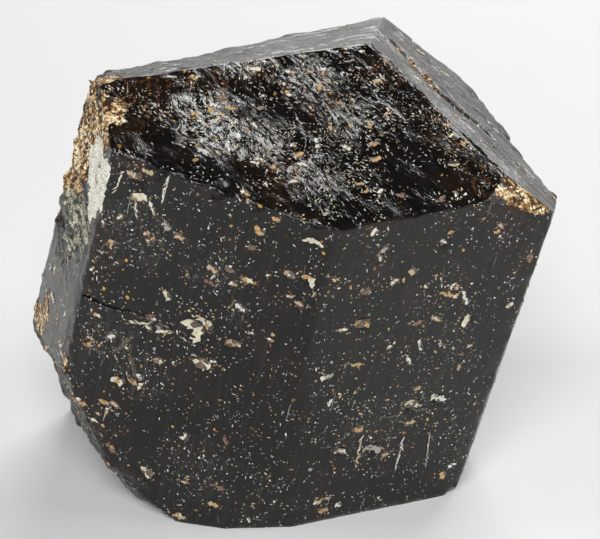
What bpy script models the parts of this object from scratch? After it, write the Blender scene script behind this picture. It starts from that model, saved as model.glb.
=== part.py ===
# One dravite (brown tourmaline) crystal, about 80 mm across, grown as a single piece.
# It is a short prism under a low pyramid of three faces, on an axis that leans about 15 degrees to the
# front right. It stands on the flat break at its foot. A rough break takes away its lower left corner.
# Metres, +Z up, the origin under the middle of the crystal on the surface that it stands on.
# The front, with the rough pyramid face that looks at a viewer, is towards -Y.

import math

import bmesh
import bpy
from mathutils import Euler, Matrix, Vector, noise
from mathutils.geometry import delaunay_2d_cdt

MM = 0.001

# The edge of the block that the crystal is cut from. It only has to be larger than the crystal.
BLOCK_SIZE = 300.0

# The pyramid's tip in the part's frame. Every other place below is measured from the tip, and the
# finished mesh is moved there.
TIP = Vector((12.51, -4.77, 68.8)) * MM

# The turn from the crystal's own frame to the part's. The own frame has X to the right, Y to the back
# and Z up the long axis, with its zero at the tip.
LEAN = Euler((math.radians(5.2), math.radians(14.2), math.radians(-12.4)), "XYZ")

# Faces that grew, in the own frame: azimuth from +X and angle from +Z in degrees, distance from the
# tip in mm, and the kind of surface.
GROWTH_FACES = {
    "pyramid_front": (-87.4, 20.8, 0.0, "hills"),
    "pyramid_left": (151.0, 25.1, 0.0, "terraces"),
    "pyramid_right": (33.4, 28.5, 0.0, "terraces"),
    "corner_right": (-41.7, 44.7, 15.8, "rough"),
    "prism_front": (-90.5, 92.2, 34.1, "smooth"),
    "prism_front_corner": (-72.0, 94.5, 35.5, "smooth"),
    "prism_front_right": (-53.8, 91.5, 30.8, "smooth"),
    "prism_right": (0.0, 90.7, 32.6, "smooth"),
    "prism_back_right": (28.0, 90.0, 28.6, "smooth"),
    "prism_back": (103.0, 90.0, 31.0, "rough"),
    "prism_back_left": (145.0, 85.0, 20.6, "rough"),
    "prism_far_left": (180.0, 83.6, 33.3, "rough"),
    "prism_left": (-150.0, 89.5, 39.7, "crusted"),
}

# Breaks, in the part's directions: the way each one faces, a point of it in mm from the tip, and the
# kind of surface.
BREAKS = {
    "foot": ((0.0, 0.0, -1.0), (0.0, 0.0, -68.8), "flat"),
    "break_rim": ((-0.985, -0.03, 0.168), (-51.0, 2.0, -42.0), "broken"),
    "break_side": ((-0.90, -0.33, -0.36), (-44.8, -17.8, -45.8), "broken"),
    "break_low": ((-0.735, -0.36, -0.575), (-34.2, -18.2, -65.5), "broken"),
    "break_toe": ((-0.56, -0.41, -0.71), (-29.2, -19.1, -69.0), "broken"),
    "chip_right": ((0.60, -0.45, -0.66), (12.0, -11.0, -68.7), "broken"),
    "break_back": ((0.35, 0.62, -0.70), (1.5, 37.0, -59.0), "broken"),
}

# Distance between neighbouring points of the surface in mm, for each kind of surface.
SPACING = {
    "hills": 1.6,
    "terraces": 2.5,
    "rough": 2.5,
    "smooth": 3.0,
    "crusted": 1.8,
    "broken": 1.8,
    "flat": 5.0,
}
EDGE_SPACING = 2.0

# How the grid of points is shaken: the shake's grain in mm, its reach and the grid's distance from
# the face's edges, both as shares of the spacing.
SHAKE_GRAIN = 0.7
SHAKE_SHARE = 0.22
GRID_MARGIN = 0.55

# How far a hollow's extra points stay from a face's edge and from each other in mm, and the gap that
# the grid leaves round them as a share of the spacing.
EXTRA_MARGIN = 0.5
EXTRA_GAP = 0.35
EXTRA_CLEARANCE = 0.42

# Hollows of torn-out mica: the face, the place as seen from the front in mm from the tip (x, z), the
# radius and the depth.
PITS = [
    ("prism_front", -24.6, -34.2, 1.9, 0.7),
    ("prism_front", -24.2, -40.2, 1.2, 0.5),
    ("prism_front", -9.1, -25.5, 1.5, 0.6),
    ("prism_front", -11.9, -24.4, 0.9, 0.4),
    ("prism_front", -6.7, -33.7, 1.5, 0.6),
    ("prism_front", -19.8, -36.4, 1.2, 0.4),
    ("prism_front", -8.6, -19.1, 1.2, 0.5),
    ("prism_front", -32.1, -12.4, 1.4, 0.5),
    ("prism_front", -33.4, -60.3, 1.3, 0.5),
    ("prism_front", -36.0, -44.8, 1.4, 0.5),
    ("prism_front_right", -1.8, -33.1, 1.3, 0.5),
    ("prism_front_right", 13.2, -35.7, 1.2, 0.5),
    ("prism_front_right", 5.8, -49.6, 1.5, 0.6),
    ("prism_front_right", 9.6, -49.2, 1.3, 0.5),
    ("prism_front_right", 0.1, -56.5, 1.5, 0.5),
    ("prism_front_right", -4.5, -55.9, 1.2, 0.5),
    ("prism_front_right", 9.3, -21.6, 1.0, 0.4),
]

# The rings of extra points in and round a hollow: the ring's radius as a share of the hollow's, and
# how many points it has. The last value is the distance between points along a split or furrow in mm.
PIT_RINGS = ((0.5, 5), (1.05, 8))
LINE_SPACING = 2.0

# The split that runs into the front face from its left edge, as seen from the front in mm (x, z).
SPLIT = [(-42.0, -30.9), (-37.4, -32.7), (-32.9, -33.3), (-28.4, -34.8), (-25.8, -36.0)]
SPLIT_WIDTH = 0.42
SPLIT_DEPTH = 0.8
SPLIT_LENGTH = 18.0

# The furrow along the right pyramid face that mica once filled, as seen from above in mm (x, y).
FURROW = [(4.2, 11.5), (6.2, 8.8), (8.2, 5.6), (9.8, 3.0), (12.4, 1.6), (17.3, 0.4)]
FURROW_WIDTH = 1.6
FURROW_DEPTH = 1.0

# Edges that are worn and chipped rather than sharp, with how deep the wear goes in mm. Below them: how
# far it reaches into a face, the size of its chips, its even share and how much the share changes.
WORN_EDGES = {
    ("pyramid_front", "prism_front"): 0.45,
    ("pyramid_left", "prism_left"): 0.45,
    ("prism_front", "prism_left"): 0.35,
    ("prism_front", "break_side"): 0.40,
    ("prism_front", "break_low"): 0.40,
    ("prism_front_right", "prism_right"): 0.20,
    ("pyramid_right", "prism_back_right"): 0.50,
    ("pyramid_left", "prism_back_left"): 0.35,
}
WORN_REACH = 2.2
WORN_SIZE = 3.4
WORN_LEAST = 0.6
WORN_CHANGE = 1.2

# The front pyramid face: a broad swell, growth hills drawn out along one direction, and ridges on
# them. Heights and sizes in mm. HILL_MIDDLE is the place on a hill's flank that counts as level.
SWELL_HEIGHT = 0.35
SWELL_SIZE = 18.0
HILL_HEIGHT = 0.5
HILL_SIZE = 4.4
HILL_STRETCH = 0.6
HILL_MIDDLE = 0.45
RIDGE_HEIGHT = 0.25
RIDGE_SIZE = 2.6

# Its lower right, where the hills are low: the middle in mm from the tip, the reach, and the share of
# the height that is left there.
CALM_MIDDLE = Vector((14.0, -22.0, -13.0)) * MM
CALM_REACH = 22.0
CALM_SHARE = 0.35

# The other two pyramid faces: growth steps, how steep their risers are, and a fine unevenness.
STEP_HEIGHT = 0.15
STEP_SIZE = 16.0
STEP_COUNT = 2.6
RISER_STEEPNESS = 3.0
UNEVEN_HEIGHT = 0.05
UNEVEN_SIZE = 4.0

# Breaks: a broad roll, shell-like scoops and a hackle.
ROLL_HEIGHT = 0.9
ROLL_SIZE = 14.0
SCOOP_DEPTH = 0.8
SCOOP_SIZE = 9.0
HACKLE_HEIGHT = 0.5
HACKLE_SIZE = 2.8

# Prism faces: a slight roll where smooth, a stronger one with hollows where rough. A hollow forms
# where the noise is above HOLLOW_START.
SMOOTH_ROLL = 0.06
SMOOTH_ROLL_SIZE = 11.0
ROUGH_ROLL = 0.25
ROUGH_ROLL_SIZE = 9.0
HOLLOW_DEPTH = 0.8
HOLLOW_SIZE = 5.0
HOLLOW_START = 0.32

# The rough matrix left on the upper left edge: its middle in mm from the tip, its reach, its flattening
# up and down, the width of its thin border, how far out it stands, the height and size of its lumps,
# and the faces that have it.
CRUST_MIDDLE = Vector((-43.0, -7.0, -9.0)) * MM
CRUST_REACH = 15.0
CRUST_FLATTENING = 0.55
CRUST_BORDER = 5.0
CRUST_THICKNESS = 0.20
LUMP_HEIGHT = 0.75
LUMP_SIZE = 3.0
CRUSTED_FACES = ("prism_left", "prism_far_left", "prism_back_left")

# Three planes that meet at a point and are nearly parallel would throw that point far out, so it
# stays where it is when the determinant of their normals is below this.
LEAST_DETERMINANT = 0.12

# The stand-in look of the whole crystal.
DRAVITE_COLOUR = (0.022, 0.017, 0.013, 1.0)
DRAVITE_ROUGHNESS = 0.28


def direction(azimuth, polar):
    """A unit vector from its azimuth and its angle from the long axis, in degrees."""
    around = math.radians(azimuth)
    down = math.radians(polar)
    flat = math.sin(down)
    return Vector((flat * math.cos(around), flat * math.sin(around), math.cos(down)))


def planes_in_place():
    """Every flat that bounds the crystal, by name: its outward normal, a point of it, its surface."""
    turn = LEAN.to_matrix()
    planes = {}
    for name, (azimuth, polar, distance, surface) in GROWTH_FACES.items():
        normal = turn @ direction(azimuth, polar)
        planes[name] = (normal, normal * distance * MM, surface)
    for name, (facing, point, surface) in BREAKS.items():
        planes[name] = (Vector(facing).normalized(), Vector(point) * MM, surface)
    return planes


def cut_block(planes):
    """A block cut back to every plane: its corners, and each face as a ring of corner numbers."""
    body = bmesh.new()
    bmesh.ops.create_cube(body, size=BLOCK_SIZE * MM)
    tag = body.faces.layers.int.new("plane")
    names = list(planes)
    for number, name in enumerate(names, start=1):
        normal, point, _ = planes[name]
        everything = body.verts[:] + body.edges[:] + body.faces[:]
        cut = bmesh.ops.bisect_plane(
            body, geom=everything, plane_co=point, plane_no=normal, clear_outer=True
        )
        rim = [e for e in cut["geom_cut"] if isinstance(e, bmesh.types.BMEdge)]
        cap = bmesh.ops.contextual_create(body, geom=rim)["faces"][0]
        cap[tag] = number
    bmesh.ops.recalc_face_normals(body, faces=body.faces)
    body.verts.index_update()
    corners = [v.co.copy() for v in body.verts]
    rings = {names[f[tag] - 1]: [v.index for v in f.verts] for f in body.faces if f[tag]}
    body.free()
    return corners, rings


def divided(a, b, spacing):
    """Evenly spaced points between two corners, without the corners."""
    steps = max(1, round((b - a).length / spacing))
    return [a.lerp(b, i / steps) for i in range(1, steps)]


def axes_of(normal):
    """Two directions that lie in a face."""
    u = normal.cross(Vector((0.0, 0.0, 1.0)))
    if u.length < 0.05:
        u = Vector((1.0, 0.0, 0.0))
    u.normalize()
    return u, normal.cross(u)


def depth_in_ring(point, ring):
    """How far a 2-D point is inside a convex ring that turns to the left; below zero outside."""
    nearest = math.inf
    for a, b in zip(ring, ring[1:] + ring[:1]):
        along = b - a
        side = along.x * (point.y - a.y) - along.y * (point.x - a.x)
        nearest = min(nearest, side / along.length)
    return nearest


def shaken_grid(ring, spacing, seed):
    """Points on a slightly shaken triangular grid inside a convex 2-D ring."""
    low = Vector((min(p.x for p in ring), min(p.y for p in ring)))
    high = Vector((max(p.x for p in ring), max(p.y for p in ring)))
    row_height = spacing * math.sqrt(3) / 2
    rows = int((high.y - low.y) / row_height) + 1
    columns = int((high.x - low.x) / spacing) + 2
    found = []
    for row in range(rows):
        for column in range(columns):
            spot = low + Vector(((column + 0.5 * (row % 2)) * spacing, row * row_height))
            here = Vector((spot.x, spot.y, seed * MM))
            shake = Vector((cloud(here, SHAKE_GRAIN, 1, 61), cloud(here, SHAKE_GRAIN, 1, 67)))
            spot += shake * spacing * SHAKE_SHARE
            if depth_in_ring(spot, ring) > spacing * GRID_MARGIN:
                found.append(spot)
    return found


def on_face(plane, x, y=None, z=None):
    """The point of a face at (x, z) mm as seen from the front, or at (x, y) mm as seen from above."""
    normal, point, _ = plane
    start = Vector((x, y or 0.0, z or 0.0)) * MM
    ray = Vector((0.0, 0.0, 1.0)) if z is None else Vector((0.0, 1.0, 0.0))
    return start + ray * ((point - start).dot(normal) / ray.dot(normal))


def distance_to_line(p, line):
    """Distance from a point to a line of several stretches."""
    nearest = math.inf
    for a, b in zip(line, line[1:]):
        along = b - a
        t = min(1.0, max(0.0, (p - a).dot(along) / along.length_squared))
        nearest = min(nearest, (p - a - along * t).length)
    return nearest


def cloud(p, size, octaves, seed):
    """Smooth noise, about -1 to 1, with features of the given size in mm."""
    return noise.fractal(p / (size * MM) + Vector((seed, 3.1 * seed, -seed)), 1.0, 2.1, octaves)


def dip(distance, radius):
    """1 at the middle of a hollow, falling to 0 at its rim."""
    return max(0.0, 1.0 - (distance / radius) ** 2)


def hills(p, run):
    """Growth hills on the front pyramid face, drawn out along run, over a broad swell."""
    drawn_out = p - run * p.dot(run) * HILL_STRETCH
    cells = noise.voronoi(drawn_out / (HILL_SIZE * MM))[0]
    far = min(1.0, (p - CALM_MIDDLE).length / (CALM_REACH * MM))
    rough = CALM_SHARE + (1.0 - CALM_SHARE) * far
    ridges = RIDGE_HEIGHT * cloud(drawn_out, RIDGE_SIZE, 2, 11)
    chips = HILL_HEIGHT * (HILL_MIDDLE - cells[0])
    return SWELL_HEIGHT * cloud(p, SWELL_SIZE, 2, 4) + rough * (chips + ridges)


def terraces(p):
    """Low growth steps with worn risers."""
    level = STEP_COUNT * cloud(p, STEP_SIZE, 2, 23)
    step = math.floor(level) + min(1.0, (level % 1.0) * RISER_STEEPNESS)
    return STEP_HEIGHT * step + UNEVEN_HEIGHT * cloud(p, UNEVEN_SIZE, 2, 7)


def broken(p):
    """A hackly break with shell-like scoops."""
    scoops = SCOOP_DEPTH * abs(cloud(p, SCOOP_SIZE, 2, 31))
    hackle = HACKLE_HEIGHT * cloud(p, HACKLE_SIZE, 2, 17)
    return ROLL_HEIGHT * cloud(p, ROLL_SIZE, 3, 5) - scoops + hackle


def crust(p):
    """How far the rough matrix on the upper left edge stands out at p, in mm."""
    away = p - CRUST_MIDDLE
    reach = Vector((away.x, away.y, away.z * CRUST_FLATTENING)).length
    cover = min(1.0, max(0.0, (CRUST_REACH * MM - reach) / (CRUST_BORDER * MM)))
    return cover * (CRUST_THICKNESS + LUMP_HEIGHT * cloud(p, LUMP_SIZE, 3, 41))


def relief(name, p, features):
    """How far the real surface stands out from its ideal plane at p, in metres."""
    planes = features["planes"]
    surface = planes[name][2]
    if surface == "flat":
        return 0.0
    height = SMOOTH_ROLL * cloud(p, SMOOTH_ROLL_SIZE, 2, 2)
    if surface == "hills":
        height = hills(p, features["run"])
    elif surface == "terraces":
        height = terraces(p)
    elif surface == "broken":
        height = broken(p)
    elif surface == "rough":
        height = ROUGH_ROLL * cloud(p, ROUGH_ROLL_SIZE, 2, 13)
        height -= HOLLOW_DEPTH * max(0.0, cloud(p, HOLLOW_SIZE, 2, 29) - HOLLOW_START)
    if name in CRUSTED_FACES:
        height += crust(p)
    if name == "pyramid_right":
        height -= FURROW_DEPTH * dip(distance_to_line(p, features["furrow"]), FURROW_WIDTH * MM)
    if name == "prism_front":
        ran_in = 1.0 - min(1.0, (p - features["split"][0]).length / (SPLIT_LENGTH * MM))
        height -= SPLIT_DEPTH * ran_in * dip(distance_to_line(p, features["split"]), SPLIT_WIDTH * MM)
    for place, centre, radius, depth in features["pits"]:
        if place == name:
            height -= depth * dip((p - centre).length, radius * MM)
    for pair, depth in WORN_EDGES.items():
        if name in pair:
            normal, point, _ = planes[pair[1] if name == pair[0] else pair[0]]
            inward = max(0.0, (point - p).dot(normal))
            chipped = WORN_LEAST + WORN_CHANGE * cloud(p, WORN_SIZE, 2, 53)
            height -= depth * dip(inward, WORN_REACH * MM) * chipped
    return height * MM


def feature_points(name, features):
    """Extra points where a face has a hollow, so that the hollow keeps its shape."""
    normal = features["planes"][name][0]
    u, v = axes_of(normal)
    points = []
    for place, centre, radius, _ in features["pits"]:
        if place != name:
            continue
        points.append(centre)
        for ring, count in PIT_RINGS:
            for i in range(count):
                turn = 2 * math.pi * i / count
                outward = u * math.cos(turn) + v * math.sin(turn)
                points.append(centre + outward * radius * ring * MM)
    line, width = [], 0.0
    if name == "prism_front":
        line, width = features["split"], SPLIT_WIDTH
    if name == "pyramid_right":
        line, width = features["furrow"], FURROW_WIDTH
    for a, b in zip(line, line[1:]):
        side = (b - a).normalized().cross(normal) * width * MM
        for spot in [a, *divided(a, b, LINE_SPACING * MM), b]:
            points += [spot, spot + side, spot - side]
    return points


def spread_out(points, gap):
    """The points that keep a gap from each other, the first ones first."""
    kept = []
    for p in points:
        if all((p - q).length > gap for q in kept):
            kept.append(p)
    return kept


def face_loop(ring, spots, owners, edge_points):
    """A face's outline as point numbers. An edge is divided once and shared by its two faces."""
    loop = []
    for a, b in zip(ring, ring[1:] + ring[:1]):
        key = (min(a, b), max(a, b))
        if key not in edge_points:
            new = divided(spots[key[0]], spots[key[1]], EDGE_SPACING * MM)
            edge_points[key] = list(range(len(spots), len(spots) + len(new)))
            spots += new
            owners += [set() for _ in new]
        between = edge_points[key] if key[0] == a else edge_points[key][::-1]
        loop += [a, *between]
    return loop


def surface_points(planes, corners, rings, features):
    """Points and triangles all over the ideal body, with the faces that each point lies on."""
    spots = [c.copy() for c in corners]
    owners = [set() for _ in spots]
    edge_points = {}
    triangles = []
    for name, ring in rings.items():
        normal, origin, surface = planes[name]
        u, v = axes_of(normal)
        to_2d = Matrix((u, v))
        loop = face_loop(ring, spots, owners, edge_points)
        outline = [to_2d @ (spots[i] - origin) for i in loop]
        corner_ring = [to_2d @ (spots[i] - origin) for i in ring]
        spacing = SPACING[surface] * MM
        special = [to_2d @ (p - origin) for p in feature_points(name, features)]
        special = [p for p in special if depth_in_ring(p, corner_ring) > EXTRA_MARGIN * MM]
        special = spread_out(special, EXTRA_GAP * MM)
        grid = shaken_grid(corner_ring, spacing, len(loop))
        clear = spacing * EXTRA_CLEARANCE
        inner = special + [p for p in grid if all((p - q).length > clear for q in special)]
        border = [(i, (i + 1) % len(loop)) for i in range(len(loop))]
        made = delaunay_2d_cdt(outline + inner, border, [], 1, 1e-7)
        numbers = loop + list(range(len(spots), len(spots) + len(inner)))
        spots += [origin + u * p.x + v * p.y for p in inner]
        owners += [set() for _ in inner]
        for i in numbers:
            owners[i].add(name)
        for triangle in made[2]:
            triangles.append([numbers[made[3][i][0]] for i in triangle])
    return spots, owners, triangles


def moved(p, names, features):
    """p shifted so that it stands out from each face that it lies on by that face's relief."""
    normals = [features["planes"][n][0] for n in names]
    heights = [relief(n, p, features) for n in names]
    if len(names) == 1:
        return p + normals[0] * heights[0]
    if len(names) == 2:
        lean = normals[0].dot(normals[1])
        first = (heights[0] - lean * heights[1]) / (1.0 - lean * lean)
        second = (heights[1] - lean * heights[0]) / (1.0 - lean * lean)
        return p + normals[0] * first + normals[1] * second
    steep = Matrix(normals[:3])
    if len(names) > 3 or abs(steep.determinant()) < LEAST_DETERMINANT:
        return p
    return p + steep.inverted() @ Vector(heights)


def dravite_material():
    """Near-black brown tourmaline with a glassy lustre."""
    made = bpy.data.materials.new("dravite")
    made.use_nodes = True
    shader = made.node_tree.nodes["Principled BSDF"]
    shader.inputs["Base Color"].default_value = DRAVITE_COLOUR
    shader.inputs["Roughness"].default_value = DRAVITE_ROUGHNESS
    shader.inputs["Metallic"].default_value = 0.0
    made.diffuse_color = DRAVITE_COLOUR
    return made


def crystal_mesh():
    """The whole crystal as one closed mesh."""
    planes = planes_in_place()
    corners, rings = cut_block(planes)
    features = {
        "planes": planes,
        "run": planes["pyramid_front"][0].cross(planes["pyramid_right"][0]).normalized(),
        "pits": [(f, on_face(planes[f], x, z=z), radius, depth) for f, x, z, radius, depth in PITS],
        "split": [on_face(planes["prism_front"], x, z=z) for x, z in SPLIT],
        "furrow": [on_face(planes["pyramid_right"], x, y=y) for x, y in FURROW],
    }
    spots, owners, triangles = surface_points(planes, corners, rings, features)
    points = [TIP + moved(p, sorted(names), features) for p, names in zip(spots, owners)]
    mesh = bpy.data.meshes.new("dravite_crystal")
    mesh.from_pydata(points, [], triangles)
    return mesh


def main():
    for old in list(bpy.data.objects):
        bpy.data.objects.remove(old, do_unlink=True)
    mesh = crystal_mesh()
    mesh.materials.append(dravite_material())
    crystal = bpy.data.objects.new("dravite_crystal", mesh)
    bpy.context.scene.collection.objects.link(crystal)


main()
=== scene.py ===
# The looks of one dravite crystal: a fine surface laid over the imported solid, the mica that sits in it,
# the materials, and a plain floor, soft lights and a camera.
# Metres, +Z up, the origin under the middle of the crystal, the front towards -Y.
# Places on the crystal are in mm from the pyramid's tip, as they are in the part's own source.

import math
import random

import bmesh
import bpy
from mathutils import Euler, Matrix, Vector, noise
from mathutils.geometry import delaunay_2d_cdt


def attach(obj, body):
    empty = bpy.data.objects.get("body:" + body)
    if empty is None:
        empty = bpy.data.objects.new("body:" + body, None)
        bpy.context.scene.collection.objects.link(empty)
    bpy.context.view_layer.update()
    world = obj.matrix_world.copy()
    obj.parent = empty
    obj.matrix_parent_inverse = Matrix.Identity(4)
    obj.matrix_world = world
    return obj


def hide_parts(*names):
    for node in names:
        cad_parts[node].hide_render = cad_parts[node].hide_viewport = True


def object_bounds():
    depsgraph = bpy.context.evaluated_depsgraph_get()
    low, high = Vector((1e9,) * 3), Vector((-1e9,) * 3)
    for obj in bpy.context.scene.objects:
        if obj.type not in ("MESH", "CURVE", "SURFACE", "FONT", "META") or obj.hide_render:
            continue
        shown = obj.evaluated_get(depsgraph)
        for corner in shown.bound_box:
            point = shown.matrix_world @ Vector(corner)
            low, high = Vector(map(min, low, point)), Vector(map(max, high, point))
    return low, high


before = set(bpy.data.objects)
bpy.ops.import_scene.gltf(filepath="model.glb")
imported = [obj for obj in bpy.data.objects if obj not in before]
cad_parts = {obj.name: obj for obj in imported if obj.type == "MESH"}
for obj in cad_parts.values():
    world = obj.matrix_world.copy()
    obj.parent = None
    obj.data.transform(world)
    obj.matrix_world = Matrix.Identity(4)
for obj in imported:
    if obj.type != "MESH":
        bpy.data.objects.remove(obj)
cad_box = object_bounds()

MM = 0.001

# The crystal's flats, repeated from part.py

BLOCK_SIZE = 300.0
TIP = Vector((12.51, -4.77, 68.8)) * MM
LEAN = Euler((math.radians(5.2), math.radians(14.2), math.radians(-12.4)), "XYZ")

# Faces that grew: azimuth and angle from the long axis in degrees, distance from the tip, surface.
GROWTH_FACES = {
    "pyramid_front": (-87.4, 20.8, 0.0, "hills"),
    "pyramid_left": (151.0, 25.1, 0.0, "terraces"),
    "pyramid_right": (33.4, 28.5, 0.0, "terraces"),
    "corner_right": (-41.7, 44.7, 15.8, "rough"),
    "prism_front": (-90.5, 92.2, 34.1, "smooth"),
    "prism_front_corner": (-72.0, 94.5, 35.5, "smooth"),
    "prism_front_right": (-53.8, 91.5, 30.8, "smooth"),
    "prism_right": (0.0, 90.7, 32.6, "smooth"),
    "prism_back_right": (28.0, 90.0, 28.6, "smooth"),
    "prism_back": (103.0, 90.0, 31.0, "rough"),
    "prism_back_left": (145.0, 85.0, 20.6, "rough"),
    "prism_far_left": (180.0, 83.6, 33.3, "rough"),
    "prism_left": (-150.0, 89.5, 39.7, "crusted"),
}

# Breaks: the way each one faces, a point of it, surface.
BREAKS = {
    "foot": ((0.0, 0.0, -1.0), (0.0, 0.0, -68.8), "flat"),
    "break_rim": ((-0.985, -0.03, 0.168), (-51.0, 2.0, -42.0), "broken"),
    "break_side": ((-0.90, -0.33, -0.36), (-44.8, -17.8, -45.8), "broken"),
    "break_low": ((-0.735, -0.36, -0.575), (-34.2, -18.2, -65.5), "broken"),
    "break_toe": ((-0.56, -0.41, -0.71), (-29.2, -19.1, -69.0), "broken"),
    "chip_right": ((0.60, -0.45, -0.66), (12.0, -11.0, -68.7), "broken"),
    "break_back": ((0.35, 0.62, -0.70), (1.5, 37.0, -59.0), "broken"),
}

# The hollows, the split and the furrow that the solid has. A hollow is x and z from the front, radius
# and depth. The split is narrower and deeper here than in the solid.
PITS = {
    "prism_front": [
        (-24.6, -34.2, 1.9, 0.7), (-24.2, -40.2, 1.2, 0.5), (-9.1, -25.5, 1.5, 0.6),
        (-11.9, -24.4, 0.9, 0.4), (-6.7, -33.7, 1.5, 0.6), (-19.8, -36.4, 1.2, 0.4),
        (-8.6, -19.1, 1.2, 0.5), (-32.1, -12.4, 1.4, 0.5), (-33.4, -60.3, 1.3, 0.5),
        (-36.0, -44.8, 1.4, 0.5),
    ],
    "prism_front_right": [
        (-1.8, -33.1, 1.3, 0.5), (13.2, -35.7, 1.2, 0.5), (5.8, -49.6, 1.5, 0.6), (9.6, -49.2, 1.3, 0.5),
        (0.1, -56.5, 1.5, 0.5), (-4.5, -55.9, 1.2, 0.5), (9.3, -21.6, 1.0, 0.4),
    ],
}
SPLIT = [(-42.0, -30.9), (-37.4, -32.7), (-32.9, -33.3), (-28.4, -34.8), (-25.8, -36.0)]
SPLIT_WIDTH = 0.32
SPLIT_DEPTH = 0.9
SPLIT_LENGTH = 18.0
FURROW = [(4.2, 11.5), (6.2, 8.8), (8.2, 5.6), (9.8, 3.0), (12.4, 1.6), (17.3, 0.4)]
FURROW_WIDTH = 1.6
FURROW_DEPTH = 1.0
WORN_EDGES = {
    ("pyramid_front", "prism_front"): 0.45,
    ("pyramid_left", "prism_left"): 0.45,
    ("prism_front", "prism_left"): 0.35,
    ("prism_front", "break_side"): 0.40,
    ("prism_front", "break_low"): 0.40,
    ("prism_front_right", "prism_right"): 0.20,
    ("pyramid_right", "prism_back_right"): 0.50,
    ("pyramid_left", "prism_back_left"): 0.35,
}
WORN_REACH = 2.2
WORN_LEAST = 0.6
CRUST_MIDDLE = Vector((-43.0, -7.0, -9.0)) * MM
CRUST_REACH = 15.0
CRUST_FLATTENING = 0.55
CRUST_BORDER = 5.0
CRUST_THICKNESS = 0.20
CRUSTED_FACES = ("prism_left", "prism_far_left", "prism_back_left")
CALM_MIDDLE = Vector((14.0, -22.0, -13.0)) * MM
CALM_REACH = 22.0
CALM_SHARE = 0.35
HILL_STRETCH = 0.6
STEP_HEIGHT = 0.15
RISER_STEEPNESS = 3.0
LEAST_DETERMINANT = 0.12

# The fine surface

# Distance between neighbouring points in mm, by face, and for the faces that aren't named.
SPACING = {
    "pyramid_front": 0.31,
    "prism_front": 0.48,
    "prism_front_corner": 0.48,
    "prism_front_right": 0.50,
    "prism_left": 0.40,
    "pyramid_left": 0.42,
    "pyramid_right": 0.42,
    "corner_right": 0.40,
    "break_rim": 0.45,
    "break_side": 0.45,
    "break_low": 0.45,
    "break_toe": 0.50,
    "chip_right": 0.60,
    "foot": 3.0,
}
OTHER_SPACING = 0.85
HACKLY = ("hills", "rough", "broken")
EDGE_SPACING = 0.40

# For the triangles: only those inside a face are kept, and points as near as this in metres are one.
INSIDE_ONLY = 1
SAME_POINT = 1e-7

# A face whose normal is this near to upright counts as level.
NEARLY_LEVEL = 0.05

# How the grid of points is shaken: the shake's grain in mm, its reach and the grid's distance from
# the face's edges, both as shares of the spacing.
SHAKE_GRAIN = 0.7
SHAKE_SEEDS = (61, 67)
SHAKE_SHARE = 0.22
GRID_MARGIN = 0.55

# The closer points along the split: their spacing, how far from it they reach, and the gap between
# them and the others, in mm. Then the seed of their shake.
SPLIT_SPACING = 0.13
SPLIT_REACH = 1.0
SPLIT_GAP = 0.1
SPLIT_SEED = 5

# How much every edge is rounded, and how far that reaches into a face, in mm.
EDGE_ROUNDING = 0.10
EDGE_REACH = 0.55

# Smooth noise: how its place depends on the seed, how fast its octaves fade and how much finer each is.
CLOUD_SHIFT = (1.0, 3.1, -1.0)
CLOUD_FADING = 1.0
CLOUD_FINER = 2.1

# What varies smoothly over the surface: how much, the size of its features in mm, octaves and seed.
# From smooth_roll to crust_grain it is a height in mm.
WAVES = {
    "smooth_roll": (0.06, 11.0, 2, 2),
    "rough_roll": (0.25, 9.0, 2, 13),
    "rough_grain": (0.10, 1.6, 2, 67),
    "swell": (0.35, 18.0, 2, 4),
    "ridges": (0.25, 2.6, 2, 11),
    "hill_grain": (0.10, 0.60, 2, 19),
    "uneven": (0.05, 4.0, 2, 7),
    "ribs": (0.06, 1.0, 2, 47),
    "roll": (0.9, 14.0, 3, 5),
    "scoops": (0.8, 9.0, 2, 31),
    "hackle": (0.5, 2.8, 2, 17),
    "break_grain": (0.22, 1.1, 2, 71),
    "lumps": (0.75, 3.0, 3, 41),
    "crust_grain": (0.22, 0.9, 2, 61),
    "step_level": (2.6, 16.0, 2, 23),
    "steepness": (0.6, 4.0, 2, 87),
    "wear": (1.2, 3.4, 2, 53),
    "edge_wear": (0.9, 2.0, 2, 59),
    "split_jog": (0.45, 1.6, 3, 37),
    "zone_border": (0.5, 2.2, 3, 91),
    "crowd": (0.7, 6.0, 2, 97),
    "close_crowd": (0.4, 1.8, 1, 3),
    "sliver_turn": (1.6, 7.0, 2, 43),
}

# Scales with steep rims: height and size in mm, and the place on a scale's flank that is level.
SCALES = {
    "hills": (0.50, 4.4),
    "on_hills": (0.13, 1.0),
    "on_breaks": (0.15, 1.4),
    "on_crust": (0.20, 1.2),
    "on_mica": (0.22, 0.95),
}
SCALE_LEVEL = 0.45

# Hollows, which lie where noise is above a limit: depth and size in mm, octaves, seed and limit.
HOLLOWS = {
    "nicks": (0.55, 1.3, 2, 49, 0.32),
    "pockets": (0.8, 5.0, 2, 29, 0.32),
    "pinholes": (0.5, 1.5, 2, 83, 0.62),
}

# How far the ribs and the nicks are drawn out along a face, where 1 would be without end.
RIB_STRETCH = 0.9
NICK_STRETCH = 0.7

# How steep the scales on the hills are: as a rule, how much the patches change it, and at least.
STEEP_USUAL = 0.50
STEEP_BY_PATCH = 0.6
STEEP_LEAST = 0.08

# How fast a patch fades, and how far out its border is looked for as a share of its reach.
ZONE_FADE = 1.6
ZONE_END = 1.6

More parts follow.
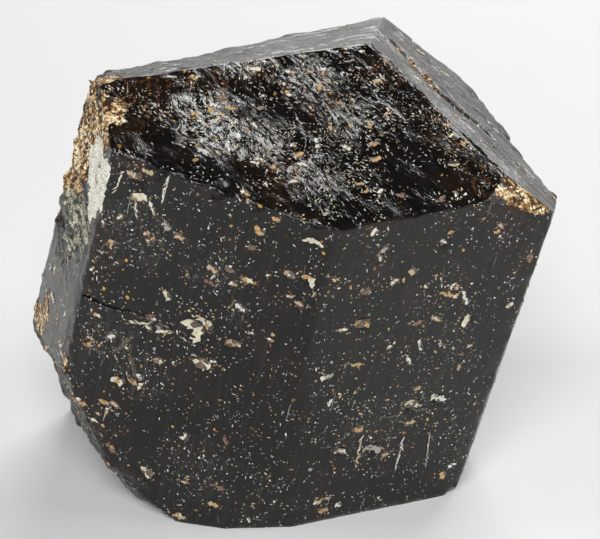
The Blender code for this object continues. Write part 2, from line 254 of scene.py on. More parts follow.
# Where each look lies, by face: the middle of a patch in mm from the tip, its reach and its strength.
# From its middle a patch fades to nothing at its reach.
ZONES = {
    "mica": {
        "prism_left": [
            ((-38.8, -18.9, -11.9), 4.6, 1.0), ((-37.9, -21.5, -14.0), 5.0, 1.1),
            ((-38.9, -20.0, -17.4), 3.6, 0.9),
        ],
    },
    "sugar": {
        "prism_left": [
            ((-42.7, -13.1, -23.0), 8.0, 0.9), ((-41.0, -17.0, -22.5), 5.0, 0.9),
            ((-43.9, -9.1, -20.0), 6.0, 0.7),
        ],
    },
    "crust": {
        "prism_left": [
            ((-41.0, -10.3, -8.0), 8.0, 1.0), ((-43.6, -6.1, -15.8), 6.5, 0.9),
            ((-39.5, -15.0, -10.0), 6.5, 0.9), ((-41.5, -12.5, -15.5), 5.0, 0.8),
            ((-37.5, -19.0, -5.0), 4.5, 1.0), ((-37.2, -21.0, -7.6), 3.0, 1.0),
            ((-50.4, -0.8, -43.8), 4.0, 0.9), ((-48.9, -4.0, -40.5), 3.0, 0.9),
            ((-44.6, -18.3, -43.8), 2.6, 1.0),
        ],
        "prism_far_left": [
            ((-47.0, 2.0, -14.0), 14.0, 0.9), ((-51.5, 6.0, -40.0), 9.0, 0.7),
        ],
        "pyramid_front": [
            ((-37.0, -18.0, -4.0), 4.0, 0.9),
        ],
        "pyramid_left": [
            ((-38.5, -12.0, -3.2), 5.0, 0.9),
        ],
        "break_rim": [
            ((-51.0, 0.5, -44.0), 6.0, 0.9),
        ],
        "break_side": [
            ((-47.0, -12.0, -48.0), 4.0, 0.9), ((-43.0, -18.3, -49.0), 3.0, 0.9),
        ],
        "break_low": [
            ((-38.0, -18.0, -58.0), 3.0, 0.8), ((-33.0, -18.5, -65.0), 3.0, 0.8),
        ],
        "corner_right": [
            ((21.0, -19.8, -16.9), 7.0, 0.8),
        ],
        "pyramid_right": [
            ((4.3, 11.2, -4.3), 2.0, 1.1), ((6.0, 9.0, -5.5), 2.0, 1.1), ((7.6, 6.6, -6.7), 2.0, 1.1),
            ((9.2, 4.0, -7.8), 1.8, 1.0),
        ],
    },
    "stain": {
        "pyramid_front": [
            ((-31.2, -13.5, -2.6), 7.0, 1.0), ((-24.0, -10.0, -2.0), 6.0, 0.8),
            ((-18.0, -8.5, -2.0), 5.0, 0.6), ((-33.0, -20.0, -5.5), 5.0, 0.6),
            ((-14.0, -24.0, -11.0), 6.0, 0.7), ((-6.0, -13.0, -6.0), 6.0, 0.5),
            ((10.0, -14.0, -8.5), 6.0, 0.6), ((14.5, -20.0, -13.0), 5.0, 0.8),
            ((2.4, -4.5, -2.9), 5.0, 1.0),
        ],
        "prism_front": [
            ((-38.5, -21.6, -22.0), 6.0, 0.55), ((-33.0, -25.0, -9.0), 4.0, 0.5),
            ((-22.0, -27.0, -13.0), 4.0, 0.3), ((-39.0, -18.5, -52.0), 5.0, 0.35),
        ],
        "prism_front_right": [
            ((0.5, -29.6, -16.5), 4.5, 0.35), ((-3.0, -28.0, -25.0), 5.0, 0.30),
            ((20.0, -20.0, -21.5), 5.0, 0.5),
        ],
        "pyramid_right": [
            ((9.0, 27.0, -8.0), 4.0, 0.8), ((11.6, 2.2, -9.4), 2.5, 1.0),
            ((24.5, -7.0, -19.5), 5.0, 0.7),
        ],
    },
    # Glint patches: the relief is steeper there, the mica crowds, and the painted glints are thickest.
    "glint": {
        "pyramid_front": [
            ((-22.1, -18.3, -6.7), 8.0, 1.0), ((-25.0, -16.0, -4.8), 5.0, 0.9),
            ((-18.9, -7.1, -1.0), 5.0, 0.7), ((-9.0, -8.4, -3.2), 7.0, 0.65),
            ((-8.4, -24.5, -11.5), 6.0, 0.6), ((-3.6, -14.0, -7.0), 6.0, 0.6),
            ((-14.5, -20.0, -8.6), 5.0, 0.7),
        ],
        "prism_front": [
            ((-33.0, -24.0, -20.0), 8.0, 0.9), ((-38.0, -20.5, -38.0), 7.0, 0.9),
            ((-33.0, -21.0, -43.5), 6.0, 1.0), ((-19.3, -26.2, -31.5), 3.0, 1.0),
            ((-22.0, -26.0, -25.0), 6.0, 0.7), ((-25.0, -21.5, -58.0), 8.0, 0.7),
        ],
        "prism_front_right": [
            ((0.0, -20.0, -52.0), 9.0, 0.6), ((12.0, -19.0, -38.0), 5.0, 0.6),
        ],
        "pyramid_right": [
            ((12.0, -8.0, -8.0), 7.0, 1.0), ((8.0, 0.0, -5.5), 6.0, 1.0),
            ((18.7, -14.0, -13.5), 7.0, 1.0), ((4.0, 9.0, -3.5), 5.0, 0.8),
        ],
    },
    "dark": {
        "pyramid_front": [
            ((-33.4, -21.0, -6.2), 5.0, 1.0), ((-28.5, -24.0, -8.8), 5.0, 1.0),
            ((-21.0, -26.0, -11.0), 5.0, 0.8), ((-17.0, -15.0, -5.6), 3.5, 0.5),
            ((5.0, -19.0, -11.0), 7.0, 0.6), ((4.0, -27.0, -15.5), 6.0, 0.9),
            ((-2.0, -29.0, -15.6), 4.0, 0.8), ((11.0, -24.0, -15.0), 5.0, 0.8),
            ((-29.5, -12.0, -1.8), 4.0, 0.5),
        ],
    },
}

# The surface's map has a flat island for each face: how large it is drawn, the gap between islands,
# and the first scale that is tried, with how it is lowered until they all fit.
MAP_WEIGHT = {
    "pyramid_front": 1.3,
    "prism_front": 1.3,
    "prism_front_corner": 1.3,
    "prism_front_right": 1.3,
    "prism_left": 1.2,
    "foot": 0.5,
}
OTHER_MAP_WEIGHT = 0.9
MAP_GAP = 0.006
MAP_FIRST_SCALE = 12.0
MAP_SHRINKING = 0.98

# Mica

# Colours of the mica and of the grains about it.
TONES = {
    "white": (0.92, 0.91, 0.86),
    "cream": (0.93, 0.86, 0.64),
    "tan": (0.68, 0.49, 0.27),
    "gold": (0.68, 0.40, 0.12),
    "rust": (0.22, 0.085, 0.03),
    "umber": (0.075, 0.032, 0.012),
    "black": (0.004, 0.0035, 0.003),
    "grey": (0.42, 0.41, 0.36),
}

# The larger flakes by face: place, length, width, turn in degrees, tone. The place is x and z in mm
# from the tip as seen from the front, and x and y as seen from above on a pyramid face.
FLAKES = [
    ("prism_front", [
        (-25.4, -35.0, 3.6, 2.0, 60, "cream"), (-24.1, -33.2, 2.4, 1.4, 20, "cream"),
        (-24.2, -40.2, 2.4, 1.4, 10, "cream"), (-9.1, -25.5, 2.9, 1.5, 70, "cream"),
        (-11.9, -24.4, 1.4, 0.9, 10, "tan"), (-6.7, -33.7, 2.4, 1.6, 80, "cream"),
        (-19.8, -36.4, 1.9, 1.0, 0, "tan"), (-18.7, -30.3, 1.4, 0.9, 30, "white"),
        (-17.7, -26.0, 1.3, 0.9, 0, "gold"), (-19.6, -26.6, 0.9, 0.7, 0, "white"),
        (-22.4, -24.7, 1.5, 0.9, 40, "tan"), (-23.0, -26.8, 1.0, 0.7, 40, "rust"),
        (-26.8, -20.1, 1.2, 0.8, 0, "tan"), (-16.0, -18.0, 1.3, 0.9, 30, "gold"),
        (-13.7, -16.2, 1.0, 0.6, 0, "gold"), (-11.8, -14.1, 1.1, 0.8, 0, "gold"),
        (-8.6, -19.1, 2.6, 0.9, 5, "cream"), (-32.8, -11.4, 1.7, 1.0, 20, "tan"),
        (-31.0, -10.8, 1.5, 0.8, 0, "tan"), (-32.1, -14.4, 1.9, 1.3, 0, "cream"),
        (-30.5, -16.3, 2.2, 0.5, 60, "white"), (-28.9, -29.6, 1.5, 0.8, 50, "cream"),
        (-31.5, -33.6, 1.5, 0.9, 0, "rust"), (-36.8, -44.8, 1.7, 1.1, 30, "cream"),
        (-34.6, -44.7, 1.2, 0.8, 0, "gold"), (-39.0, -48.7, 1.4, 0.8, 20, "gold"),
        (-42.5, -49.2, 1.5, 1.0, 20, "gold"), (-41.1, -52.2, 1.3, 0.9, 0, "gold"),
        (-33.4, -60.3, 1.9, 1.1, 40, "cream"), (-23.2, -64.5, 1.5, 1.0, 0, "tan"),
        (-22.2, -61.4, 1.0, 0.7, 0, "rust"), (-27.4, -61.1, 1.0, 0.6, 0, "rust"),
        (-38.4, -56.7, 1.8, 0.8, 40, "rust"), (-10.9, -35.2, 1.3, 0.7, 0, "tan"),
        (-10.6, -28.8, 1.0, 0.7, 0, "tan"), (-14.8, -64.5, 2.3, 1.2, 10, "tan"),
        (-28.4, -67.6, 1.6, 0.9, 0, "tan"),
    ]),
    ("prism_front_right", [
        (-1.8, -33.1, 2.3, 1.1, 0, "gold"), (13.2, -35.7, 2.0, 1.0, 80, "cream"),
        (8.8, -34.3, 2.0, 0.6, 20, "gold"), (9.3, -21.6, 1.1, 0.7, 0, "white"),
        (-7.1, -41.5, 1.2, 0.8, 0, "tan"), (5.8, -49.6, 2.3, 1.5, 10, "cream"),
        (9.6, -49.2, 2.6, 1.2, 20, "white"), (5.7, -52.8, 1.2, 0.7, 0, "tan"),
        (0.1, -56.5, 2.9, 1.3, 10, "grey"), (-2.0, -52.1, 1.4, 1.0, 0, "gold"),
        (-4.5, -55.9, 1.8, 1.0, 10, "cream"), (-7.0, -66.7, 1.4, 0.8, 0, "gold"),
        (12.6, -62.8, 1.2, 0.7, 0, "white"), (5.0, -41.1, 1.2, 0.6, 60, "gold"),
    ]),
    ("prism_front", [
        (-28.6, -13.0, 5.0, 0.25, 92, "white"), (-35.6, -38.5, 3.0, 0.5, 120, "black"),
        (-34.4, -41.8, 3.4, 0.5, 70, "black"), (-33.0, -34.6, 3.0, 0.4, 170, "cream"),
        (-29.6, -35.6, 2.4, 0.5, 165, "cream"), (-39.4, -40.0, 2.2, 0.5, 10, "black"),
    ]),
    ("prism_front_right", [
        (6.6, -38.6, 2.2, 0.5, 60, "white"), (10.4, -30.5, 3.2, 0.5, 20, "gold"),
        (12.8, -31.5, 2.6, 0.5, 60, "white"), (2.2, -50.8, 2.4, 0.5, 170, "black"),
        (7.0, -50.6, 3.0, 0.5, 0, "black"),
    ]),
    ("prism_front", [
        (-35.0, -12.7, 4.0, 0.25, 100, "cream"), (-32.8, -16.0, 3.6, 0.30, 75, "white"),
    ]),
    ("prism_front_right", [
        (4.3, -58.3, 6.0, 0.30, 86, "white"), (8.6, -58.5, 7.0, 0.25, 78, "grey"),
        (-1.9, -56.5, 6.0, 0.30, 82, "tan"),
    ]),
    ("prism_left", [
        (-47.4, -37.8, 2.2, 1.4, 0, "cream"), (-49.2, -41.2, 1.6, 1.0, 0, "gold"),
        (-44.6, -43.3, 1.6, 1.0, 0, "gold"),
    ]),
    ("pyramid_front", [
        (0.0, -20.1, 1.4, 0.7, 20, "gold"), (-0.4, -17.7, 1.2, 0.6, 20, "gold"),
        (10.9, -19.0, 1.2, 0.6, 20, "gold"),
    ]),
    ("pyramid_right", [
        (8.7, 24.9, 2.6, 1.0, 0, "cream"), (5.0, 9.0, 3.0, 1.4, 60, "cream"),
        (6.8, 6.6, 2.6, 1.4, 60, "gold"), (8.8, 3.4, 2.4, 1.2, 60, "gold"),
        (7.7, 30.3, 2.2, 1.0, 0, "cream"), (12.5, 22.2, 2.2, 0.8, 0, "cream"),
        (18.2, 5.4, 1.8, 0.7, 0, "rust"), (21.9, -3.6, 2.0, 0.9, 0, "cream"),
        (26.5, -9.1, 2.4, 1.0, 0, "cream"),
    ]),
]

# Small flakes strewn over each kind of surface: how many to a square cm, and the share of each tone.
STREWN = {
    "smooth": (8.0, {"white": 3, "cream": 3, "tan": 4, "gold": 4, "rust": 4, "grey": 2}),
    "hills": (14.0, {"white": 4, "cream": 2, "tan": 3, "gold": 9, "rust": 5, "grey": 2}),
    "terraces": (3.0, {"white": 3, "cream": 2, "tan": 2, "gold": 3, "rust": 5, "grey": 2}),
    "crusted": (8.0, {"white": 3, "cream": 4, "tan": 4, "gold": 4, "rust": 3, "grey": 3}),
    "rough": (7.0, {"white": 1, "cream": 2, "tan": 4, "gold": 5, "rust": 5, "grey": 2}),
    "broken": (9.0, {"white": 1, "cream": 3, "tan": 4, "gold": 5, "rust": 5, "grey": 2}),
}
FLAKE_SEED = 12
STREWN_SIZE = (0.35, 1.6)
STREWN_SLIMNESS = (0.4, 0.9)

# How rare the long ones are among the strewn flakes and specks, and the length in mm from which a
# strewn flake is a cluster of plates.
LENGTH_POWER = 3.0
CLUSTER_LENGTH = 0.8

# How densely places are strewn: as a rule, how much the patches change it, at least, how much a dark
# patch takes away, and how far the places stay from a face's edges in mm.
CROWD_USUAL = 0.35
CROWD_BY_PATCH = 0.5
CROWD_LEAST = 0.05
CROWD_DARK = 0.9
STREWN_MARGIN = 0.4

# How strongly the crowding works on the flakes and on the specks.
FLAKE_CROWDING = 1.0
SPECK_CROWDING = 2.5

# How much larger the placed flakes are built than listed, because their plates taper.
FLAKE_GROWTH = 1.25

# A plate: how its corners vary in place, reach and height, how far in every second one lies, how high
# its middle is and how deep its root, in mm or as shares, and how its shade varies.
CORNER_SHAKE = 0.35
CORNER_REACH = (0.55, 1.15)
CORNER_NOTCH = 0.75
CORNER_LIFT = (-0.02, 0.03)
CROWN_LIFT = (0.02, 0.08)
ROOT_DEPTH = 0.30
PLATE_SHADE = (0.90, 1.05)
CORNER_SHADE = (0.85, 1.0)
PLATE_LIFT = 0.03

# A cluster, as shares of the flake: its brown bed, the black plate of painted shadow beside it and how far
# that is moved aside, how the plates spread, overlap, narrow and turn, and how high each lies above the one
# before.
BED = (1.35, 1.45)
BED_SHARE = 0.5
BED_LIFT = 0.005
PAINTED_SHADOW = (0.9, 0.8)
PAINTED_SHADOW_SHIFT = 0.4
PAINTED_SHADOW_LIFT = 0.015
CLUSTER_PLATE = 1.1
CLUSTER_SPREAD = 0.8
CLUSTER_SHIFT = 0.22
CLUSTER_LAP = (1.3, 1.9)
CLUSTER_NARROWING = (0.6, 1.1)
CLUSTER_TURN = 0.7
CLUSTER_LIFT = 0.05
CLUSTER_STEP = 0.02
MIXED_SHARE = 0.25
MIXED_TONES = ("white", "cream", "gold")

# The crumbs about a cluster: how many to a mm of its length, how far away as shares of that, their
# size in mm, their slimness and height.
CRUMBS_TO_MM = 2.5
CRUMB_AWAY = (0.5, 1.1)
CRUMB_SIZE = (0.18, 0.50)
CRUMB_SLIMNESS = 0.7
CRUMB_LIFT = 0.02
CRUMB_TONES = ("white", "cream", "gold", "tan", "rust")

# How many corners each kind of plate has.
CORNERS = {"bed": 9, "plate": 8, "strewn": 7, "crumb": 5, "speck": 4}

# Specks of mica on each kind of surface: how many to a square cm, least and most length in mm, and
# width to length. On the hills they are slivers that lie along the streaks, and the white ones there are
# partly painted glints.
SPECKS = {
    "smooth": (34.0, 0.14, 0.55, 0.45),
    "hills": (190.0, 0.18, 0.85, 0.42),
    "terraces": (10.0, 0.20, 0.60, 0.30),
    "crusted": (35.0, 0.16, 0.42, 0.60),
    "rough": (20.0, 0.16, 0.45, 0.60),
    "broken": (25.0, 0.16, 0.45, 0.60),
}
SPECK_TONES = {"white": 9, "grey": 5, "cream": 3, "tan": 1, "gold": 1}
SPECK_LEAST_WIDTH = 0.10
SLIVER_SPREAD = 0.4

# Materials

BLACK_STONE = (0.0050, 0.0044, 0.0040)
DEEP_BLACK = (0.0025, 0.0022, 0.0020)
BROWN_STONE = (0.042, 0.021, 0.009)
RUST = (0.130, 0.048, 0.014)
DARK_SOIL = (0.024, 0.010, 0.004)
GOLD_SOIL = (0.520, 0.300, 0.090)
CREAM_SOIL = (0.930, 0.840, 0.600)
CREAM_MICA = (0.900, 0.880, 0.760)
LEAF_LINE = (0.090, 0.075, 0.045)
GREY_MICA = (0.260, 0.265, 0.215)
# A painted glint: the white of the fibrous haze on the rough faces.
PAINTED_GLINT_WHITE = (0.880, 0.890, 0.880)
SUGAR_BLACK = (0.0100, 0.0088, 0.0080)
SUGAR_CREAM = (0.744, 0.672, 0.480)
LEAF_SHEEN = (0.90, 0.87, 0.76)
# Pale marks: partly the white of mica, and partly painted glints.
PALE_MARK_AND_GLINT = (0.900, 0.890, 0.860)
GOLD_MARK = (0.650, 0.370, 0.090)

# What differs between the kinds of surface. dots, dashes, lines, cuts and grains are shares of cells
# that hold a mark; near is the least and the most that a patch changes them by; streak is how far the
# colour and gloss follow the grain; bump is in mm, and the last share is how much of the painted white
# haze of glints shows.
LOOKS = {
    "front": {
        "roughness": 0.27, "specular": 0.30, "dots": 0.22, "dashes": 0.07, "lines": 0.05,
        "cuts": 0.12, "grains": 0.13, "near": (0.20, 1.9), "swirl": 0.5, "turn": 180,
        "streak": 0.10, "bump": 0.04, "brown": 0.18, "painted_glints": 0.04,
    },
    "hills": {
        "roughness": 0.17, "specular": 0.30, "dots": 0.55, "dashes": 0.22, "lines": 0.0,
        "cuts": 0.20, "grains": 0.24, "near": (0.10, 1.6), "swirl": 3.5, "turn": 60,
        "streak": 0.05, "bump": 0.13, "brown": 0.20, "painted_glints": 0.80,
    },
    "satin": {
        "roughness": 0.32, "specular": 0.50, "dots": 0.15, "dashes": 0.20, "lines": 0.70,
        "cuts": 0.75, "grains": 0.08, "near": (0.40, 1.9), "swirl": 1.0, "turn": 8,
        "streak": 1.0, "bump": 0.10, "brown": 0.25, "painted_glints": 0.65,
    },
    "left": {
        "roughness": 0.33, "specular": 0.50, "dots": 0.25, "dashes": 0.06, "lines": 0.0,
        "cuts": 0.10, "grains": 0.08, "near": (0.30, 1.5), "swirl": 1.0, "turn": 180,
        "streak": 0.05, "bump": 0.06, "brown": 0.25, "painted_glints": 0.10,
    },
    "broken": {
        "roughness": 0.40, "specular": 0.50, "dots": 0.35, "dashes": 0.10, "lines": 0.0,
        "cuts": 0.20, "grains": 0.34, "near": (0.50, 1.5), "swirl": 1.0, "turn": 180,
        "streak": 0.05, "bump": 0.10, "brown": 0.75, "painted_glints": 0.0,
    },
}
LOOK_OF = {
    "pyramid_front": "hills",
    "pyramid_left": "satin",
    "pyramid_right": "satin",
    "prism_left": "left",
    "prism_far_left": "left",
    "corner_right": "broken",
    "break_rim": "broken",
    "break_side": "broken",
    "break_low": "broken",
    "break_toe": "broken",
    "chip_right": "broken",
    "break_back": "broken",
    "foot": "broken",
}

# Roughness and index of refraction. Each look of the stone has its own roughness.
DRAVITE_IOR = 1.63
MICA_ROUGHNESS = 0.40
MICA_IOR = 1.58
PAPER_ROUGHNESS = 0.85
PAPER_IOR = 1.45

# Marks: the cell in mm that holds at most one, half its length and width in mm, a seed, and how soft
# its rim is.
MARKS = {
    "dots": ((0.80, 0.80), 0.17, 0.13, 1, 0.25),
    "blots": ((1.7, 1.7), 0.26, 0.15, 8, 0.25),
    "dashes": ((1.4, 0.75), 0.55, 0.10, 2, 0.35),
    "twigs": ((0.75, 0.42), 0.34, 0.09, 3, 0.35),
    "lines": ((8.0, 1.6), 2.4, 0.07, 4, 0.35),
    "grains": ((1.9, 1.9), 0.42, 0.28, 5, 0.35),
    "specks": ((1.1, 1.1), 0.20, 0.15, 6, 0.35),
    "cuts": ((3.0, 0.7), 1.1, 0.11, 7, 0.35),
}
MARK_SHIFT = (7.3, 3.9)
MARK_LEAST_SIZE = 0.45
MARK_LEAST_STRENGTH = 0.12
MARK_FADING = 1.8

# The spread of the marks' directions in degrees: of round ones, of lines, and of cuts as a share of
# the dashes' spread. Then how many blots there are to a dot, and specks to a grain.
ANY_TURN = 180
LINE_TURN = 3
CUT_TURN = 0.3
BLOTS_TO_DOTS = 0.3
SPECKS_TO_GRAINS = 1.6

# Noise in the materials: size in mm, detail, roughness, and how it is squeezed along each direction.
EVENLY = (1.0, 1.0, 1.0)
FIELDS = {
    "crowd": (6.5, 3.0, 0.5, EVENLY),
    "brown": (5.0, 4.0, 0.5, EVENLY),
    "rust": (0.9, 5.0, 0.5, EVENLY),
    "crumbs": (0.8, 4.0, 0.5, EVENLY),
    "streaks": (1.0, 3.0, 0.5, (0.07, 1.6, 1.0)),
    "glint_fibres": (0.80, 6.0, 0.85, (0.45, 1.3, 1.0)),
    "painted_glints": (2.2, 4.0, 0.5, EVENLY),
    "gloss": (2.4, 4.0, 0.5, (0.4, 1.0, 1.0)),
    "fine": (0.35, 4.0, 0.5, (0.45, 1.0, 1.0)),
    "soil": (1.8, 6.0, 0.75, EVENLY),
    "contours": (1.5, 4.0, 0.62, (1.0, 0.55, 1.0)),
    "grit": (0.9, 7.0, 0.85, (1.0, 0.7, 1.0)),
    "flake_stain": (0.45, 3.0, 0.5, EVENLY),
    "leaves": (0.20, 3.0, 0.5, (1.0, 1.0, 3.0)),
    "paper": (90.0, 2.0, 0.5, EVENLY),
}

# Where each thing starts to show and where it shows in full.
LIMITS = {
    "crowd": (0.40, 0.62),
    "brown": (0.50, 0.72),
    "rust": (0.53, 0.63),
    "streaks": (0.45, 0.75),
    "glint_fibres": (0.51, 0.56),
    "painted_glints": (0.65, 1.45),
    "crust_cover": (0.62, 0.74),
    "mica_line": (-0.02, 0.16),
    "mica_cover": (0.60, 0.70),
    "sugar": (0.46, 0.52),
    "pale_sugar": (0.535, 0.57),
    "sugar_cover": (0.55, 0.85),
    "flake_stain": (0.30, 0.50),
    "leaves": (0.42, 0.60),
}

# How much each thing counts in the colour.
CROWD_SHARE = 0.6
DARK_LEAST = 0.12
STAIN_SHARE = 0.25
STREAK_SHARE = 0.35
RUST_SHARE = 0.6
# Painted shade: how far the hollows and the split are darkened in the colour.
PIT_SHADE_SHARE = 0.8
CRUMB_SHARE = 0.6
FLAKE_STAIN = 0.40
LEAF_SHARE = 0.20

# How large the places that noise moves about are and how far it moves them, in mm: along the swirls,
# at a mark's rim, and at the crust's grains.
SWIRL_SIZE = 9.0
SWIRL_GROWTH = 2.0
RAGGED = (0.45, 0.16)
CRUST_SHAKE = (0.35, 0.50)

# The crust's grains: their size in mm, how much they differ, and the tones above the darkest one with
# where they start and where they show in full.
CRUST_GRAIN = 0.36
CRUST_CHANGE = 0.14
CRUST_TONES = [(RUST, 0.44, 0.46), (GOLD_SOIL, 0.50, 0.52), (CREAM_SOIL, 0.595, 0.610)]

# The contour lines of the mica sheet, counted over the noise's range.
CONTOURS = 10.0

# Gloss and bump. Bumps are shares of a look's own bump, and the last one is in mm.
DULL_ROUGHNESS = 0.80
GLOSS_CHANGE = (-0.08, 0.10)
LEAF_ROUGHNESS = (0.55, 0.28)
FINE_BUMP = 0.7
CUT_BUMP = 1.2
PALE_BUMP = 0.4
CRUMB_BUMP = 1.2
LEAF_BUMP_STRENGTH = 0.8
LEAF_BUMP = 0.05

# How far round a hollow the painted shade reaches, as a share of its radius, and how far apart in mm the
# grain's third coordinate keeps the faces.
PIT_SHADE_RIM = 1.15
GRAIN_STEP = 40.0

# Stage, light and camera

CAMERA_PLACE = Vector((2.06, -264.84, 140.78)) * MM
CAMERA_TILT = 67.5
CAMERA_LENS = 110.82
CAMERA_SENSOR = 36.0
CAMERA_NEAR = 0.01
FLOOR_COLOUR = (0.83, 0.83, 0.83)
FLOOR_CHANGE = (0.99, 1.01)

# The sheet of paper in metres: half its width, how far it reaches to the front and to the back, the
# height of its back, and the radius and the steps of the curve between them.
SHEET_HALF_WIDTH = 1.6
SHEET_FRONT = -1.2
SHEET_BACK = 1.6
SHEET_RISE = 0.30
SHEET_RADIUS = 0.20
SHEET_STEPS = 16

# The room's own light, a grey.
WORLD_GREY = 0.025

# Soft boxes: place and target in metres, width, height, radiance.
SOFT_LIGHTS = {
    "behind": ((0.35, 1.05, 0.72), (0.05, 0.15, 0.0), 1.10, 0.36, 10.0),
    "front": ((-0.05, -0.90, 0.80), (0.0, 0.0, 0.03), 0.60, 0.45, 12.0),
    "right": ((0.95, -0.15, 0.60), (0.0, 0.0, 0.03), 0.50, 0.45, 5.0),
    "left": ((-0.95, -0.10, 0.50), (0.0, 0.0, 0.03), 0.40, 0.40, 5.0),
}


def direction(azimuth, polar):
    """A unit vector from its azimuth and its angle from the long axis, in degrees."""
    around = math.radians(azimuth)
    down = math.radians(polar)
    flat = math.sin(down)
    return Vector((flat * math.cos(around), flat * math.sin(around), math.cos(down)))


def planes_in_place():
    """Every flat that bounds the crystal, by name: its outward normal, a point of it, its surface."""
    turn = LEAN.to_matrix()
    planes = {}
    for name, (azimuth, polar, distance, surface) in GROWTH_FACES.items():
        normal = turn @ direction(azimuth, polar)
        planes[name] = (normal, normal * distance * MM, surface)
    for name, (facing, point, surface) in BREAKS.items():
        planes[name] = (Vector(facing).normalized(), Vector(point) * MM, surface)
    return planes


def cut_block(planes):
    """A block cut back to every plane: its corners, and each face as a ring of corner numbers."""
    body = bmesh.new()
    bmesh.ops.create_cube(body, size=BLOCK_SIZE * MM)
    tag = body.faces.layers.int.new("plane")
    names = list(planes)
    for number, name in enumerate(names, start=1):
        normal, point, _ = planes[name]
        everything = body.verts[:] + body.edges[:] + body.faces[:]
        cut = bmesh.ops.bisect_plane(
            body, geom=everything, plane_co=point, plane_no=normal, clear_outer=True
        )
        rim = [e for e in cut["geom_cut"] if isinstance(e, bmesh.types.BMEdge)]
        cap = bmesh.ops.contextual_create(body, geom=rim)["faces"][0]
        cap[tag] = number
    bmesh.ops.recalc_face_normals(body, faces=body.faces)
    body.verts.index_update()
    corners = [v.co.copy() for v in body.verts]
    rings = {names[f[tag] - 1]: [v.index for v in f.verts] for f in body.faces if f[tag]}
    body.free()
    return corners, rings


def divided(a, b, spacing):
    """Evenly spaced points between two corners, without the corners."""
    steps = max(1, round((b - a).length / spacing))
    return [a.lerp(b, i / steps) for i in range(1, steps)]


def axes_of(normal):
    """Two directions that lie in a face."""
    u = normal.cross(Vector((0.0, 0.0, 1.0)))
    if u.length < NEARLY_LEVEL:
        u = Vector((1.0, 0.0, 0.0))
    u.normalize()
    return u, normal.cross(u)


def depth_in_ring(point, ring):
    """How far a 2-D point is inside a convex ring that turns to the left; below zero outside."""
    nearest = math.inf
    for a, b in zip(ring, ring[1:] + ring[:1]):
        along = b - a
        side = along.x * (point.y - a.y) - along.y * (point.x - a.x)
        nearest = min(nearest, side / along.length)
    return nearest


def shaken_grid(ring, spacing, seed):
    """Points on a slightly shaken triangular grid inside a convex 2-D ring."""
    low = Vector((min(p.x for p in ring), min(p.y for p in ring)))
    high = Vector((max(p.x for p in ring), max(p.y for p in ring)))
    row_height = spacing * math.sqrt(3) / 2
    rows = int((high.y - low.y) / row_height) + 1
    columns = int((high.x - low.x) / spacing) + 2
    found = []
    for row in range(rows):
        for column in range(columns):
            spot = low + Vector(((column + 0.5 * (row % 2)) * spacing, row * row_height))
            here = Vector((spot.x, spot.y, seed * MM))
            shake = Vector([cloud(here, SHAKE_GRAIN, 1, number) for number in SHAKE_SEEDS])
            spot += shake * spacing * SHAKE_SHARE
            if depth_in_ring(spot, ring) > spacing * GRID_MARGIN:
                found.append(spot)
    return found


def finer_near(line, points, ring):
    """The points of a face with those near a line replaced by closer ones."""
    reach = SPLIT_REACH * MM
    low = Vector((min(p.x for p in line) - reach, min(p.y for p in line) - reach))
    high = Vector((max(p.x for p in line) + reach, max(p.y for p in line) + reach))
    box = [low, Vector((high.x, low.y)), high, Vector((low.x, high.y))]
    close = shaken_grid(box, SPLIT_SPACING * MM, SPLIT_SEED)
    close = [p for p in close if distance_to_line(p, line) < reach]
    close = [p for p in close if depth_in_ring(p, ring) > SPLIT_SPACING * MM]
    return [p for p in points if distance_to_line(p, line) > reach + SPLIT_GAP * MM] + close


def on_face(plane, x, y=None, z=None):
    """The point of a face at (x, z) mm as seen from the front, or at (x, y) mm as seen from above."""
    normal, point, _ = plane
    start = Vector((x, y or 0.0, z or 0.0)) * MM
    ray = Vector((0.0, 0.0, 1.0)) if z is None else Vector((0.0, 1.0, 0.0))
    return start + ray * ((point - start).dot(normal) / ray.dot(normal))


def distance_to_line(p, line):
    """Distance from a point to a line of several stretches."""
    nearest = math.inf
    for a, b in zip(line, line[1:]):
        along = b - a
        t = min(1.0, max(0.0, (p - a).dot(along) / along.length_squared))
        nearest = min(nearest, (p - a - along * t).length)
    return nearest


def cloud(p, size, octaves, seed):
    """Smooth noise, about -1 to 1, with features of the given size in mm."""
    shift = Vector([share * seed for share in CLOUD_SHIFT])
    return noise.fractal(p / (size * MM) + shift, CLOUD_FADING, CLOUD_FINER, octaves)


def dip(distance, radius):
    """1 at the middle of a hollow, falling to 0 at its rim."""
    return max(0.0, 1.0 - (distance / radius) ** 2)


def wave(kind, p):
    """What varies smoothly over the surface, at p."""
    amount, size, octaves, seed = WAVES[kind]
    return amount * cloud(p, size, octaves, seed)


def scales(kind, p):
    """How far small scales with steep rims stand out at p, in mm."""
    height, size = SCALES[kind]
    return height * (SCALE_LEVEL - noise.voronoi(p / (size * MM))[0][0])


def hollows(kind, p):
    """How deep scattered hollows are at p, in mm."""
    depth, size, octaves, seed, limit = HOLLOWS[kind]
    return depth * max(0.0, cloud(p, size, octaves, seed) - limit)


def hills(p, run):
    """Growth hills on the front pyramid face, drawn out along run, under finer scales that are
    steep in the glinting patches and low in the dark ones."""
    drawn_out = p - run * p.dot(run) * HILL_STRETCH
    far = min(1.0, (p - CALM_MIDDLE).length / (CALM_REACH * MM))
    rough = CALM_SHARE + (1.0 - CALM_SHARE) * far
    broad = scales("hills", drawn_out) + wave("ridges", drawn_out)
    fine = scales("on_hills", drawn_out) + wave("hill_grain", drawn_out)
    patches = zone("glint", p, ("pyramid_front",)) - zone("dark", p, ("pyramid_front",))
    steep = STEEP_USUAL + STEEP_BY_PATCH * patches + wave("steepness", p)
    return wave("swell", p) + rough * (broad + max(STEEP_LEAST, steep) * fine)


